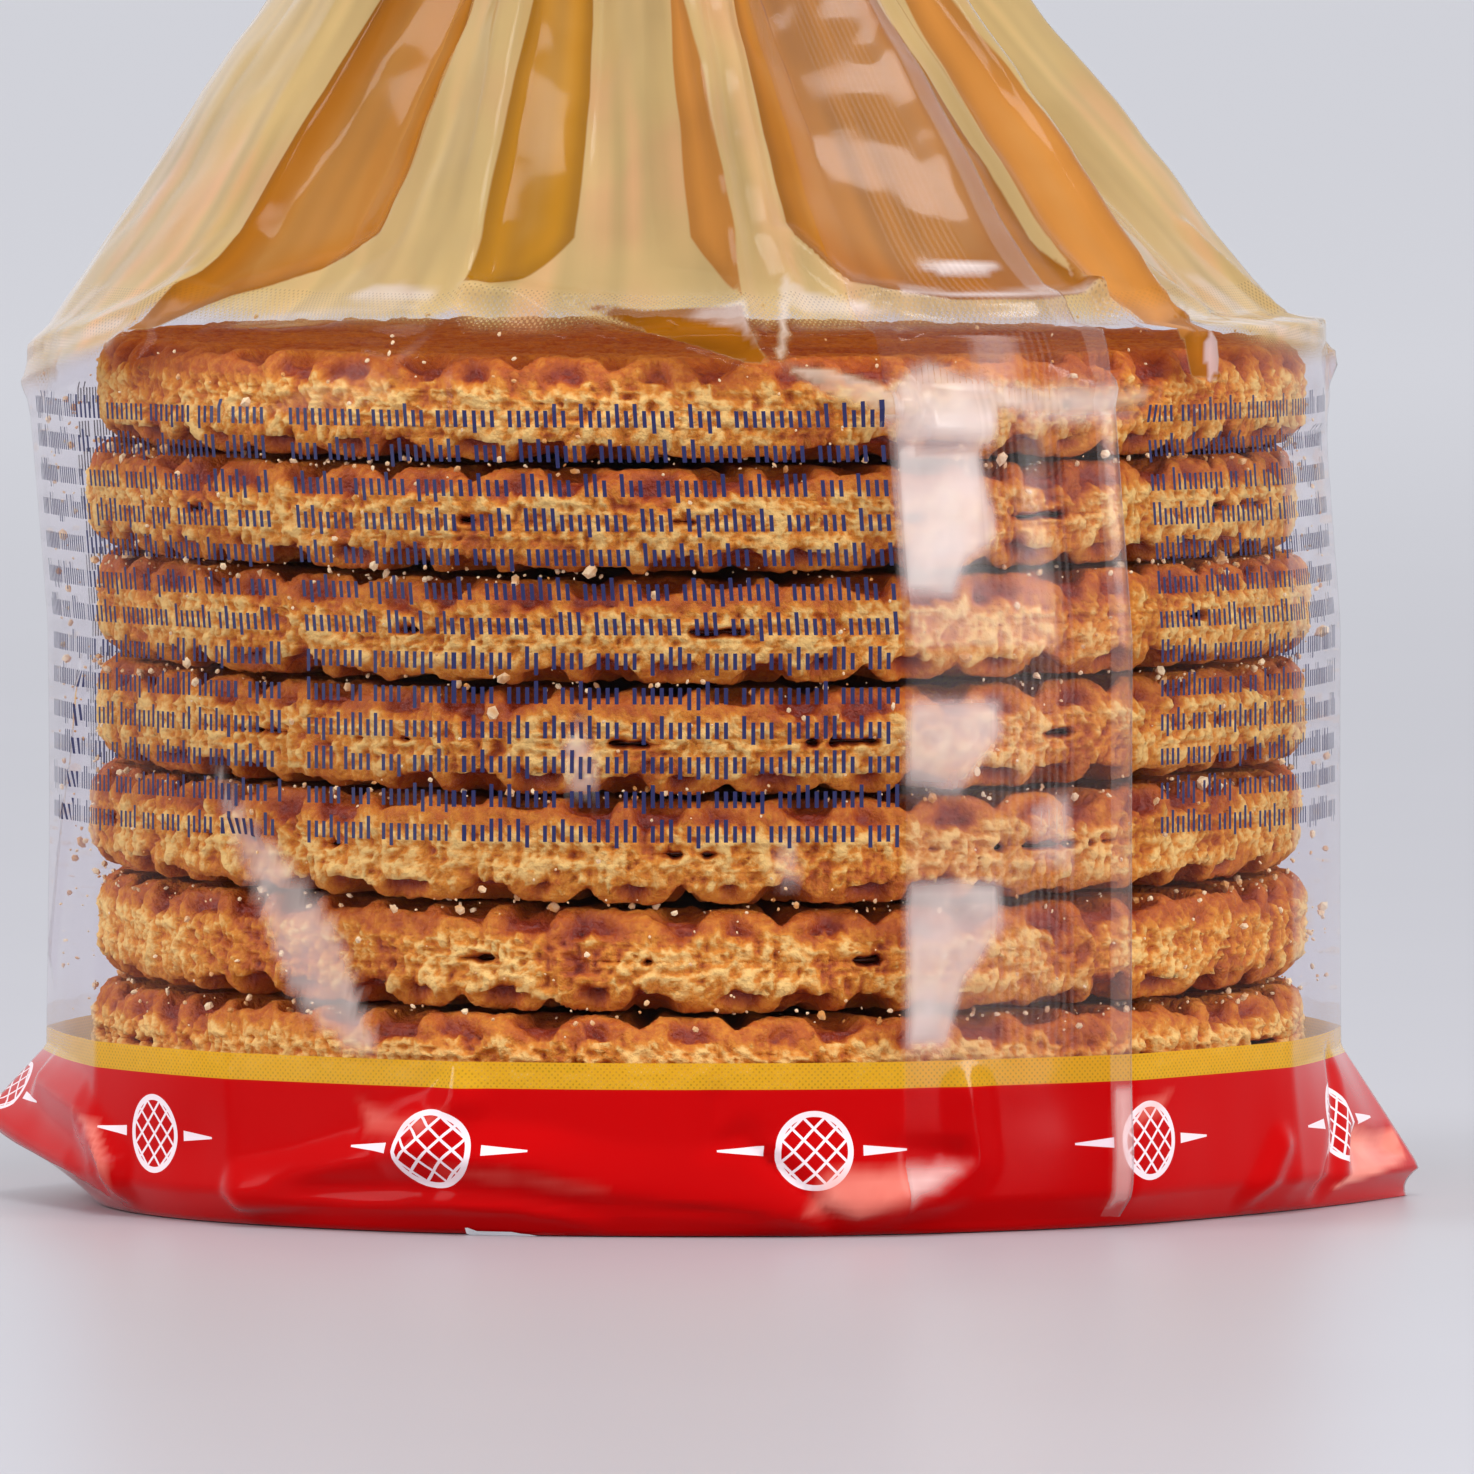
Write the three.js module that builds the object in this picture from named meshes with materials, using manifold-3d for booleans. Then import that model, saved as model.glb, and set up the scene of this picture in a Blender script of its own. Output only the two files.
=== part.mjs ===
import * as THREE from 'three';
import { mergeVertices } from 'three/addons/utils/BufferGeometryUtils.js';
import Module from 'manifold-3d';

const wasm = await Module();
wasm.setup();

// A clear bag that holds a stack of eight caramel waffles. It stands on its flat base, and its top is
// gathered into a neck, tied, and ends in a ruffle.
// Millimetres and degrees, +Z up. The origin is the middle of the base, the side with the lap seam faces
// -Y, and a bearing is measured from -Y towards +X.

// The stack inside
const WAFFLE_DIAMETER = 84;
const WAFFLE_COUNT = 8;
const WAFFLE_PITCH = 7.45;

// The film round the stack
const SIDE_SLACK = 3;
const BASE_FLAT_RADIUS = 36;
const FOOT_RADIUS = 43;
const HEM_HEIGHT = 2.4;
const SHOULDER_BELOW_STACK_TOP = 1.4;
const SHOULDER_ROUND_BELOW = 2.7;
const SHOULDER_ROUND_ABOVE = 3;
const CREASE_FLATNESS = 0.6;
const SEAM_RELIEF = 0.4;
const SEAM_FROM = 18;
const SEAM_TO = 42;

// The gathered top. A full pleat would use up all the spare film: the real ones are a share of that,
// and no deeper than a share of the radius they lie at.
const NECK_RADIUS = 7.4;
const NECK_HEIGHT = 109.4;
const NECK_LENGTH = 6;
const NECK_ROUND_BELOW = 5.5;
const NECK_ROUND_ABOVE = 1;
const NECK_OFFSET = new THREE.Vector2(-5.2, 1.5);
const LEAN_FROM_HEIGHT = 40;
const PLEAT_FULLNESS = 0.65;
const DEEPEST_PLEAT = 0.42;
const SHALLOWEST_PLEAT = 0.16;
const RUFFLE_RADIUS = 21.5;
const RUFFLE_LENGTH = 21;
const RUFFLE_LIP = 1;
const RUFFLE_WAIST = 3;
const RUFFLE_WAVE = 1.4;
const RUFFLE_HOLLOW = 8;
const HOLLOW_STEPS = [
  { radiusShare: 0.6, depthShare: 0.65 },
  { radiusShare: 0.25, depthShare: 1 },
];

// The two corners of the folded bottom seal, which stand out past the round wall
const EAR_TOP = 10.5;
const EARS = [
  { bearing: 90, reach: 50.5, tipHeight: 2, footReach: 49.6, halfWidth: 38 },
  { bearing: -90, reach: 49.6, tipHeight: 5.6, footReach: 40.8, halfWidth: 36 },
];

// The twist tie
const TIE_WIDTH = 3.8;
const TIE_THICKNESS = 1.1;
const TIE_GAP = 0.5;
const TIE_BEARING = 62;
const TWIST_LENGTH = 8;
const TWIST_WIDTH = 2.7;
const TWIST_THICKNESS = 2.2;
const TWIST_TURNS = 1.25;
const TAIL_LENGTH = 12;
const TAIL_THICKNESS = 0.9;
const TAIL_SPREAD = 38;
const TAIL_RISE = 0.25;

const WALL_RADIUS = WAFFLE_DIAMETER / 2 + SIDE_SLACK;
const STACK_HEIGHT = WAFFLE_COUNT * WAFFLE_PITCH;
const SHOULDER_HEIGHT = STACK_HEIGHT - SHOULDER_BELOW_STACK_TOP;
const NECK_TOP = NECK_HEIGHT + NECK_LENGTH;
const RUFFLE_TOP = NECK_TOP + RUFFLE_LENGTH;

// Each fold that runs up the roof: its bearing at the shoulder and at the neck, and how deep the valley
// between it and the next one is, as a share of a full pleat.
const PLEATS = [
  { foot: -90, head: -88, valley: 0.12 },
  { foot: -63, head: -54, valley: 1 },
  { foot: -24, head: -22, valley: 0.8 },
  { foot: 6, head: 6, valley: 0.75 },
  { foot: 39, head: 35, valley: 0.35 },
  { foot: 51, head: 53, valley: 0.9 },
  { foot: 87, head: 86, valley: 0.85 },
  { foot: 117, head: 116, valley: 1 },
  { foot: 150, head: 149, valley: 0.85 },
  { foot: 180, head: 180, valley: 1 },
  { foot: 210, head: 213, valley: 0.9 },
  { foot: 240, head: 242, valley: 0.8 },
];

// The faint upright creases of the wall, by bearing
const WALL_CREASES = [-90, -66, -45, -21, 0, 18, 42, 66, 90, 117, 144, 168, 192, 219, 243];

const COLUMNS = 120;
const EAR_STEPS = 3;
const WALL_STEPS = 4;
const SHOULDER_STEPS = 4;
const ROOF_STEPS = 6;
const NECK_STEPS = 3;
const RUFFLE_STEPS = 5;
const TWIST_STEPS = 15;
const BAND_SIDES = 48;
const FULL_TURN = 360;
const radians = THREE.MathUtils.degToRad;
const mix = THREE.MathUtils.lerp;
const ease = THREE.MathUtils.smoothstep;

// The place in a ring of bearings: the pair that holds the bearing, and how far along it is, 0 to 1.
function span(bearing, bearings) {
  const first = bearings[0];
  const turned = THREE.MathUtils.euclideanModulo(bearing - first, FULL_TURN) + first;
  let index = bearings.length - 1;
  while (index > 0 && bearings[index] > turned) index -= 1;
  const from = bearings[index];
  const to = index + 1 < bearings.length ? bearings[index + 1] : first + FULL_TURN;
  return { index, from, to, share: (turned - from) / (to - from) };
}

const PLEAT_FEET = PLEATS.map((pleat) => pleat.foot);
const PLEAT_HEADS = PLEATS.map((pleat) => pleat.head);

// How deep the film folds where its ridges lie at this radius: the wall's whole width of film has to
// fit into the smaller round, and close to the neck the pleats are pressed together.
function pleatDepth(radius) {
  const halfFilm = (Math.PI * WALL_RADIUS) / PLEATS.length;
  const halfChord = (Math.PI * Math.min(radius, WALL_RADIUS)) / PLEATS.length;
  const free = PLEAT_FULLNESS * Math.sqrt(halfFilm ** 2 - halfChord ** 2);
  const pressed = mix(SHALLOWEST_PLEAT, DEEPEST_PLEAT, ease(radius, NECK_RADIUS, 2 * NECK_RADIUS));
  return Math.min(free, pressed * radius);
}

// The pleats' zigzag: 0 on a ridge, the valley's share halfway to the next ridge.
function pleatShape(bearing) {
  const place = span(bearing, PLEAT_FEET);
  return PLEATS[place.index].valley * (1 - Math.abs(2 * place.share - 1));
}

// The bearing that a column of the roof has at the neck, where the folds have drawn together.
function gatheredBearing(bearing) {
  const place = span(bearing, PLEAT_FEET);
  const next = place.index + 1;
  const from = PLEAT_HEADS[place.index];
  const to = next < PLEATS.length ? PLEAT_HEADS[next] : PLEAT_HEADS[0] + FULL_TURN;
  return mix(from, to, place.share);
}

// The wall between two creases lies part of the way from the arc to its chord.
function wallShape(bearing) {
  const place = span(bearing, WALL_CREASES);
  const half = radians((place.to - place.from) / 2);
  const off = half * (2 * place.share - 1);
  const chord = Math.cos(half) / Math.cos(off);
  return mix(1, chord, CREASE_FLATNESS);
}

// The overlap of film along the lap seam, a low step on the wall
function seamShape(bearing) {
  return bearing >= SEAM_FROM && bearing <= SEAM_TO ? SEAM_RELIEF : 0;
}

// How much of an ear there is at a bearing: 1 at its tip, 0 at its sides.
function earShare(ear, bearing) {
  const off = Math.abs(THREE.MathUtils.euclideanModulo(bearing - ear.bearing + 180, FULL_TURN) - 180);
  return Math.max(0, 1 - off / ear.halfWidth) ** 2;
}

// A ring of the film: its ridge radius and height, and which of the shapes above it takes.
function ring(radius, height, options = {}) {
  return { radius, height, wall: 0, ear: 0, foot: false, pleats: 0, gather: 0, wave: 0, ...options };
}

function baseRings() {
  return [
    ring(BASE_FLAT_RADIUS, 0),
    ring(FOOT_RADIUS, 0, { foot: true }),
  ];
}

function wallRings() {
  const heights = [HEM_HEIGHT];
  for (let step = 1; step <= EAR_STEPS; step += 1) {
    heights.push(mix(HEM_HEIGHT, EAR_TOP, step / EAR_STEPS));
  }
  const wallTop = SHOULDER_HEIGHT - SHOULDER_ROUND_BELOW;
  for (let step = 1; step <= WALL_STEPS; step += 1) {
    heights.push(mix(EAR_TOP, wallTop, step / WALL_STEPS));
  }
  return heights.map((height) => {
    const ear = Math.max(0, (EAR_TOP - height) / (EAR_TOP - HEM_HEIGHT));
    return ring(WALL_RADIUS, height, { wall: 1, ear });
  });
}

function roofRings() {
  const slope = (WALL_RADIUS - NECK_RADIUS) / (NECK_HEIGHT - SHOULDER_HEIGHT);
  const onRoof = (height) => new THREE.Vector2(WALL_RADIUS - slope * (height - SHOULDER_HEIGHT), height);
  const roofStart = SHOULDER_HEIGHT + SHOULDER_ROUND_ABOVE;
  const roofEnd = NECK_HEIGHT - NECK_ROUND_BELOW;
  const shoulder = new THREE.QuadraticBezierCurve(
    new THREE.Vector2(WALL_RADIUS, SHOULDER_HEIGHT - SHOULDER_ROUND_BELOW),
    new THREE.Vector2(WALL_RADIUS, SHOULDER_HEIGHT),
    onRoof(roofStart),
  );
  const neck = new THREE.QuadraticBezierCurve(
    onRoof(roofEnd),
    new THREE.Vector2(NECK_RADIUS, NECK_HEIGHT),
    new THREE.Vector2(NECK_RADIUS, NECK_HEIGHT + NECK_ROUND_ABOVE),
  );
  const points = shoulder.getPoints(SHOULDER_STEPS).slice(1);
  for (let step = 1; step <= ROOF_STEPS; step += 1) {
    points.push(onRoof(mix(roofStart, roofEnd, step / ROOF_STEPS)));
  }
  points.push(...neck.getPoints(NECK_STEPS).slice(1));
  return points.map(({ x: radius, y: height }) => {
    const above = height - SHOULDER_HEIGHT;
    return ring(radius, height, {
      wall: 1 - ease(above, -SHOULDER_ROUND_BELOW, SHOULDER_ROUND_ABOVE),
      pleats: 1,
      gather: ease(above, 0, 3 * SHOULDER_ROUND_ABOVE),
    });
  });
}

function ruffleRings() {
  const flare = new THREE.QuadraticBezierCurve(
    new THREE.Vector2(NECK_RADIUS, NECK_TOP),
    new THREE.Vector2(NECK_RADIUS + RUFFLE_WAIST, NECK_TOP + RUFFLE_LENGTH / 2),
    new THREE.Vector2(RUFFLE_RADIUS, RUFFLE_TOP),
  );
  const outside = flare.getPoints(RUFFLE_STEPS).map(({ x, y }) => [x, y]);
  const lip = [RUFFLE_RADIUS - RUFFLE_LIP, RUFFLE_TOP + RUFFLE_LIP];
  const inside = HOLLOW_STEPS.map(({ radiusShare, depthShare }) => [
    RUFFLE_RADIUS * radiusShare,
    RUFFLE_TOP - RUFFLE_HOLLOW * depthShare,
  ]);
  return [...outside, lip, ...inside].map(([radius, height]) => {
    const wave = ease(height, NECK_TOP, RUFFLE_TOP);
    return ring(radius, height, { pleats: 1, gather: 1, wave });
  });
}

// The neck stands a little to one side of the base's middle, and the film leans there from mid-height.
function lean(height) {
  const share = THREE.MathUtils.clamp((height - LEAN_FROM_HEIGHT) / (NECK_HEIGHT - LEAN_FROM_HEIGHT), 0, 1);
  return NECK_OFFSET.clone().multiplyScalar(share);
}

// One point of the film, on a ring and at a column's bearing
function filmPoint(level, bearing) {
  let radius = level.radius * mix(1, wallShape(bearing), level.wall) + level.wall * seamShape(bearing);
  radius -= level.pleats * pleatDepth(level.radius) * pleatShape(bearing);
  let { height } = level;
  for (const ear of EARS) {
    const share = earShare(ear, bearing);
    if (level.foot) radius = mix(radius, ear.footReach, share);
    radius += level.ear * share * (ear.reach - WALL_RADIUS);
    height += level.ear * share * (ear.tipHeight - HEM_HEIGHT);
  }
  height += level.wave * RUFFLE_WAVE * (Math.sin(radians(3 * bearing)) + Math.cos(radians(5 * bearing)));
  const at = radians(mix(bearing, gatheredBearing(bearing), level.gather));
  const centre = lean(level.height);
  return new THREE.Vector3(centre.x + radius * Math.sin(at), centre.y - radius * Math.cos(at), height);
}

// A closed skin through rings of as many points each, with a fan of triangles over each end
function loft(rings) {
  const count = rings[0].length;
  const middle = (points) => points.reduce((sum, p) => sum.add(p), new THREE.Vector3()).divideScalar(count);
  const points = [middle(rings[0]), ...rings.flat(), middle(rings[rings.length - 1])];
  const faces = [];
  const last = points.length - 1;
  for (let column = 0; column < count; column += 1) {
    const next = (column + 1) % count;
    faces.push(0, 1 + next, 1 + column);
    for (let level = 0; level + 1 < rings.length; level += 1) {
      const low = 1 + level * count;
      const high = low + count;
      faces.push(low + column, low + next, high + next, low + column, high + next, high + column);
    }
    faces.push(last, last - count + column, last - count + next);
  }
  const geometry = new THREE.BufferGeometry().setFromPoints(points);
  geometry.setIndex(faces);
  return geometry;
}

function bagGeometry() {
  const levels = [...baseRings(), ...wallRings(), ...roofRings(), ...ruffleRings()];
  const bearings = Array.from({ length: COLUMNS }, (_, column) => -90 + (column * FULL_TURN) / COLUMNS);
  return loft(levels.map((level) => bearings.map((bearing) => filmPoint(level, bearing))));
}

// A flat strip along a straight line out of the neck: its section turns by the given number of turns.
function strip(from, to, width, thickness, turns, steps) {
  const axis = to.clone().sub(from).normalize();
  const side = new THREE.Vector3(0, 0, 1).cross(axis).normalize();
  const up = axis.clone().cross(side);
  const corners = [[-1, -1], [-1, 1], [1, 1], [1, -1]];
  const rings = [];
  for (let step = 0; step <= steps; step += 1) {
    const share = step / steps;
    const turn = share * turns * Math.PI * 2;
    const across = side.clone().multiplyScalar(Math.cos(turn)).addScaledVector(up, Math.sin(turn));
    const above = up.clone().multiplyScalar(Math.cos(turn)).addScaledVector(side, -Math.sin(turn));
    const middle = from.clone().lerp(to, share);
    rings.push(corners.map(([a, b]) => middle.clone()
      .addScaledVector(above, (a * width) / 2)
      .addScaledVector(across, (b * thickness) / 2)));
  }
  return loft(rings);
}

function solid(geometry) {
  const bare = geometry.index ? geometry.toNonIndexed() : geometry.clone();
  const positions = new THREE.BufferGeometry().setAttribute('position', bare.getAttribute('position'));
  const merged = mergeVertices(positions, 1e-4);
  const mesh = new wasm.Mesh({
    numProp: 3,
    vertProperties: new Float32Array(merged.attributes.position.array),
    triVerts: new Uint32Array(merged.index.array),
  });
  return new wasm.Manifold(mesh);
}

function geometryOf(manifold) {
  const mesh = manifold.getMesh();
  const geometry = new THREE.BufferGeometry();
  geometry.setAttribute('position', new THREE.BufferAttribute(mesh.vertProperties, mesh.numProp));
  geometry.setIndex(new THREE.BufferAttribute(mesh.triVerts, 1));
  return geometry;
}

// A band once round the neck, its ends twisted together and then parted in two tails
function tieGeometry() {
  const inner = NECK_RADIUS + TIE_GAP;
  const outer = inner + TIE_THICKNESS;
  const profile = [
    new THREE.Vector2(inner, -TIE_WIDTH / 2),
    new THREE.Vector2(outer, -TIE_WIDTH / 2),
    new THREE.Vector2(outer, TIE_WIDTH / 2),
    new THREE.Vector2(inner, TIE_WIDTH / 2),
    new THREE.Vector2(inner, -TIE_WIDTH / 2),
  ];
  const band = new THREE.LatheGeometry(profile, BAND_SIDES).rotateX(Math.PI / 2);
  const outward = (bearing) => new THREE.Vector3(Math.sin(radians(bearing)), -Math.cos(radians(bearing)), 0);
  const out = outward(TIE_BEARING);
  const twistStart = out.clone().multiplyScalar(inner + TIE_THICKNESS / 2);
  const twistEnd = out.clone().multiplyScalar(outer + TWIST_LENGTH);
  const twist = strip(twistStart, twistEnd, TWIST_WIDTH, TWIST_THICKNESS, TWIST_TURNS, TWIST_STEPS);
  let joined = solid(band).add(solid(twist));
  const tailStart = out.clone().multiplyScalar(outer + TWIST_LENGTH - TIE_THICKNESS);
  for (const way of [-1, 1]) {
    const heading = outward(TIE_BEARING + way * TAIL_SPREAD).setZ(way * TAIL_RISE).normalize();
    const tailEnd = tailStart.clone().addScaledVector(heading, TAIL_LENGTH);
    joined = joined.add(solid(strip(tailStart, tailEnd, TIE_WIDTH, TAIL_THICKNESS, 0, 1)));
  }
  return geometryOf(joined);
}

function piece(name, geometry, colour, roughness, metalness) {
  const material = new THREE.MeshStandardMaterial({ color: colour, roughness, metalness });
  const mesh = new THREE.Mesh(geometry, material);
  mesh.name = name;
  return mesh;
}

const pack = new THREE.Group();
pack.add(piece('filled_bag', bagGeometry(), 0xc98a3f, 0.25, 0));

const tie = piece('twist_tie', tieGeometry(), 0xc9a24a, 0.35, 0.6);
tie.position.set(NECK_OFFSET.x, NECK_OFFSET.y, NECK_HEIGHT + NECK_LENGTH / 2);
pack.add(tie);

export default pack;
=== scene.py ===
"""A clear printed bag of eight caramel waffles, gathered and tied at the top.

The sizes in this file are millimetres and degrees, and reach Blender in metres. A bearing is measured
round the bag from its front, which faces -Y, towards +X. Heights are above the base.
"""

from __future__ import annotations

import logging
import math
from dataclasses import dataclass, field
from enum import Enum, IntEnum

import bpy
import numpy as np
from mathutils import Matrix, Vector


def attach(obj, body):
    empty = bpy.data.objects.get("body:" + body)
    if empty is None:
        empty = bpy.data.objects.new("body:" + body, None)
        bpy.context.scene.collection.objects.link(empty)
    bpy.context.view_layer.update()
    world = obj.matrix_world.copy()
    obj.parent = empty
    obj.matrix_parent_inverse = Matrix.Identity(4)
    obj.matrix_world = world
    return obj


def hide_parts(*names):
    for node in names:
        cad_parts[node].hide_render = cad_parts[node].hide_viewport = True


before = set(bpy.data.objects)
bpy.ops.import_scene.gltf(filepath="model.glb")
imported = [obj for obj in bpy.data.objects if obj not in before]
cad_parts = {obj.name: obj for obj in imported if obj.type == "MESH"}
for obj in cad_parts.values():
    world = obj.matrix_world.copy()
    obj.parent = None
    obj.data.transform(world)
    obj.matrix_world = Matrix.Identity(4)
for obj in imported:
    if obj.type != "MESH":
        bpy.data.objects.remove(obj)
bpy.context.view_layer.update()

MM = 0.001
FULL_TURN = 360.0
FAR = 1e9
SMALLEST = 1e-9
TOUCHING = 1e-7
NO_AREA = 1e-8
LOG = logging.getLogger("bag")

Point = tuple[float, float]
Triple = tuple[float, float, float]
Shader = bpy.types.NodeSocket


def byte_colour(red: int, green: int, blue: int) -> tuple[float, float, float, float]:
    """Turns a display colour, each part 0 to 255, into linear red, green and blue and an alpha of 1."""
    shares = [value / 255 for value in (red, green, blue)]
    linear = [s / 12.92 if s <= 0.04045 else ((s + 0.055) / 1.055) ** 2.4 for s in shares]
    return (linear[0], linear[1], linear[2], 1.0)


def ease(value: np.ndarray, low: float, high: float) -> np.ndarray:
    """A smooth step from 0 at low to 1 at high."""
    share = np.clip((value - low) / (high - low), 0.0, 1.0)
    return share * share * (3 - 2 * share)


def turn_apart(bearing: np.ndarray, other: float) -> np.ndarray:
    """How far each bearing is from another one, between -180 and 180."""
    return (bearing - other + 180) % FULL_TURN - 180


class Seed(IntEnum):
    """The first number of each random pattern, so that every run is the same."""

    CLOUD = 5
    FINE_STREAK = 6
    WIDE_STREAK = 7
    HIGHLIGHT_WANDER = 8
    HIGHLIGHT_CLOUD = 9
    FOLDS = 11
    BLOTCH = 15
    TICKS = 21
    WAFFLE = 40
    GAP_CRUMBS = 77
    FILM_CRUMBS = 78
    SHIFT = 300
    CARAMEL = 600


class Grain:
    """Smooth random relief in space, the same on every run."""

    CELLS = 48
    LAYER_SHIFT = 17.3

    def __init__(self, seed: int) -> None:
        """Fills the grid of random values, which the seed chooses."""
        self.table = np.random.default_rng(seed).random((self.CELLS,) * 3) * 2 - 1

    def at(self, points: np.ndarray, size: float | Triple) -> np.ndarray:
        """Reads the relief.

        Args:
            points: Places, with x, y and z on the last axis.
            size: Distance between bumps, one number or one for each axis.

        Returns:
            A value from -1 to 1 for each place.
        """
        scaled = points / np.asarray(size)
        low = np.floor(scaled).astype(np.int64)
        share = scaled - low
        share = share * share * (3 - 2 * share)
        total = np.zeros(points.shape[:-1])
        for corner in np.ndindex(2, 2, 2):
            cell = (low + np.array(corner)) % self.CELLS
            weight = np.prod(np.where(np.array(corner) == 1, share, 1 - share), axis=-1)
            total += weight * self.table[cell[..., 0], cell[..., 1], cell[..., 2]]
        return total

    def layered(self, points: np.ndarray, size: float | Triple, layers: int) -> np.ndarray:
        """Adds ever finer layers of the relief, each with half the size and depth of the one before."""
        total = np.zeros(points.shape[:-1])
        for layer in range(layers):
            total += self.at(points + self.LAYER_SHIFT * layer, np.asarray(size) / 2**layer) / 2**layer
        return total / (2 - 2 ** (1 - layers))


@dataclass(frozen=True)
class Ripple:
    """Random relief of one size and depth.

    Its size is the distance between bumps, one number or one for each axis. Its shift is how far from the
    points the grain is read, so that two ripples of one grain differ.
    """

    size: float | Triple
    depth: float = 1.0
    shift: float = 0.0
    layers: int = 1

    CREVICE = 3.2

    def at(self, grain: Grain, points: np.ndarray) -> np.ndarray:
        """Reads the relief at places."""
        return grain.layered(points + self.shift, self.size, self.layers) * self.depth

    def clumps(self, grain: Grain, points: np.ndarray) -> np.ndarray:
        """Reads rounded lumps with sharp crevices between them, at most as high as the depth."""
        return (1 - self.CREVICE * np.abs(grain.at(points + self.shift, self.size))) * self.depth


# Making meshes


def deselect() -> None:
    """Leaves nothing selected, so that an operator acts only on what comes next."""
    bpy.ops.object.select_all(action="DESELECT")


def open_mesh(piece: bpy.types.Object) -> None:
    """Opens one piece in edit mode, with all of its mesh selected."""
    deselect()
    piece.select_set(True)
    bpy.context.view_layer.objects.active = piece
    bpy.ops.object.mode_set(mode="EDIT")
    bpy.ops.mesh.select_all(action="SELECT")


def rolled_sheet(name: str, points: np.ndarray, chart: np.ndarray | None = None) -> bpy.types.Object:
    """Lays a flat grid of faces over rows of points.

    Args:
        name: The object's name.
        points: Rows of columns of places in millimetres.
        chart: The same rows of columns with two numbers for the UV map named print, or None.

    Returns:
        The new object, with its place in its mesh.
    """
    rows, columns = points.shape[:2]
    deselect()
    bpy.ops.mesh.primitive_grid_add(x_subdivisions=columns - 1, y_subdivisions=rows - 1, size=2)
    sheet = bpy.context.object
    sheet.name = name
    mesh = sheet.data
    mesh.name = name
    if len(mesh.vertices) != rows * columns:
        raise ValueError(f"{name}: the grid has {len(mesh.vertices)} points, not {rows * columns}")
    mesh.vertices.foreach_set("co", (points.reshape(-1, 3) * MM).ravel())
    if chart is not None:
        corners = np.zeros(len(mesh.loops), dtype=np.int64)
        mesh.loops.foreach_get("vertex_index", corners)
        mesh.uv_layers[0].name = "print"
        mesh.uv_layers["print"].data.foreach_set("uv", chart.reshape(-1, 2)[corners].ravel())
    return sheet


def weld(piece: bpy.types.Object) -> bpy.types.Object:
    """Joins the points that lie on each other, turns all faces out and shades them smooth."""
    open_mesh(piece)
    bpy.ops.mesh.remove_doubles(threshold=TOUCHING)
    bpy.ops.mesh.dissolve_degenerate(threshold=NO_AREA)
    bpy.ops.mesh.select_all(action="SELECT")
    bpy.ops.mesh.normals_make_consistent(inside=False)
    bpy.ops.object.mode_set(mode="OBJECT")
    bpy.ops.object.shade_smooth()
    return piece


def loose_faces(
    name: str, points: np.ndarray, faces: list[tuple[int, ...]], material: bpy.types.Material
) -> bpy.types.Object:
    """Makes an object of separate faces, each given by the numbers of its points, in millimetres."""
    mesh = bpy.data.meshes.new(name)
    mesh.from_pydata((points.reshape(-1, 3) * MM).tolist(), [], faces)
    mesh.update()
    piece = bpy.data.objects.new(name, mesh)
    bpy.context.scene.collection.objects.link(piece)
    open_mesh(piece)
    bpy.ops.mesh.delete_loose()
    bpy.ops.object.mode_set(mode="OBJECT")
    mesh.materials.append(material)
    return piece


def paint(piece: bpy.types.Object, name: str, values: np.ndarray) -> None:
    """Stores a number or a colour for each point of a mesh, in its order, for its material to read."""
    coloured = values.shape[-1] == 4
    layer = piece.data.attributes.new(name, "FLOAT_COLOR" if coloured else "FLOAT", "POINT")
    flat = np.ascontiguousarray(values, dtype=np.float32).ravel()
    layer.data.foreach_set("color" if coloured else "value", flat)


# Materials


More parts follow.
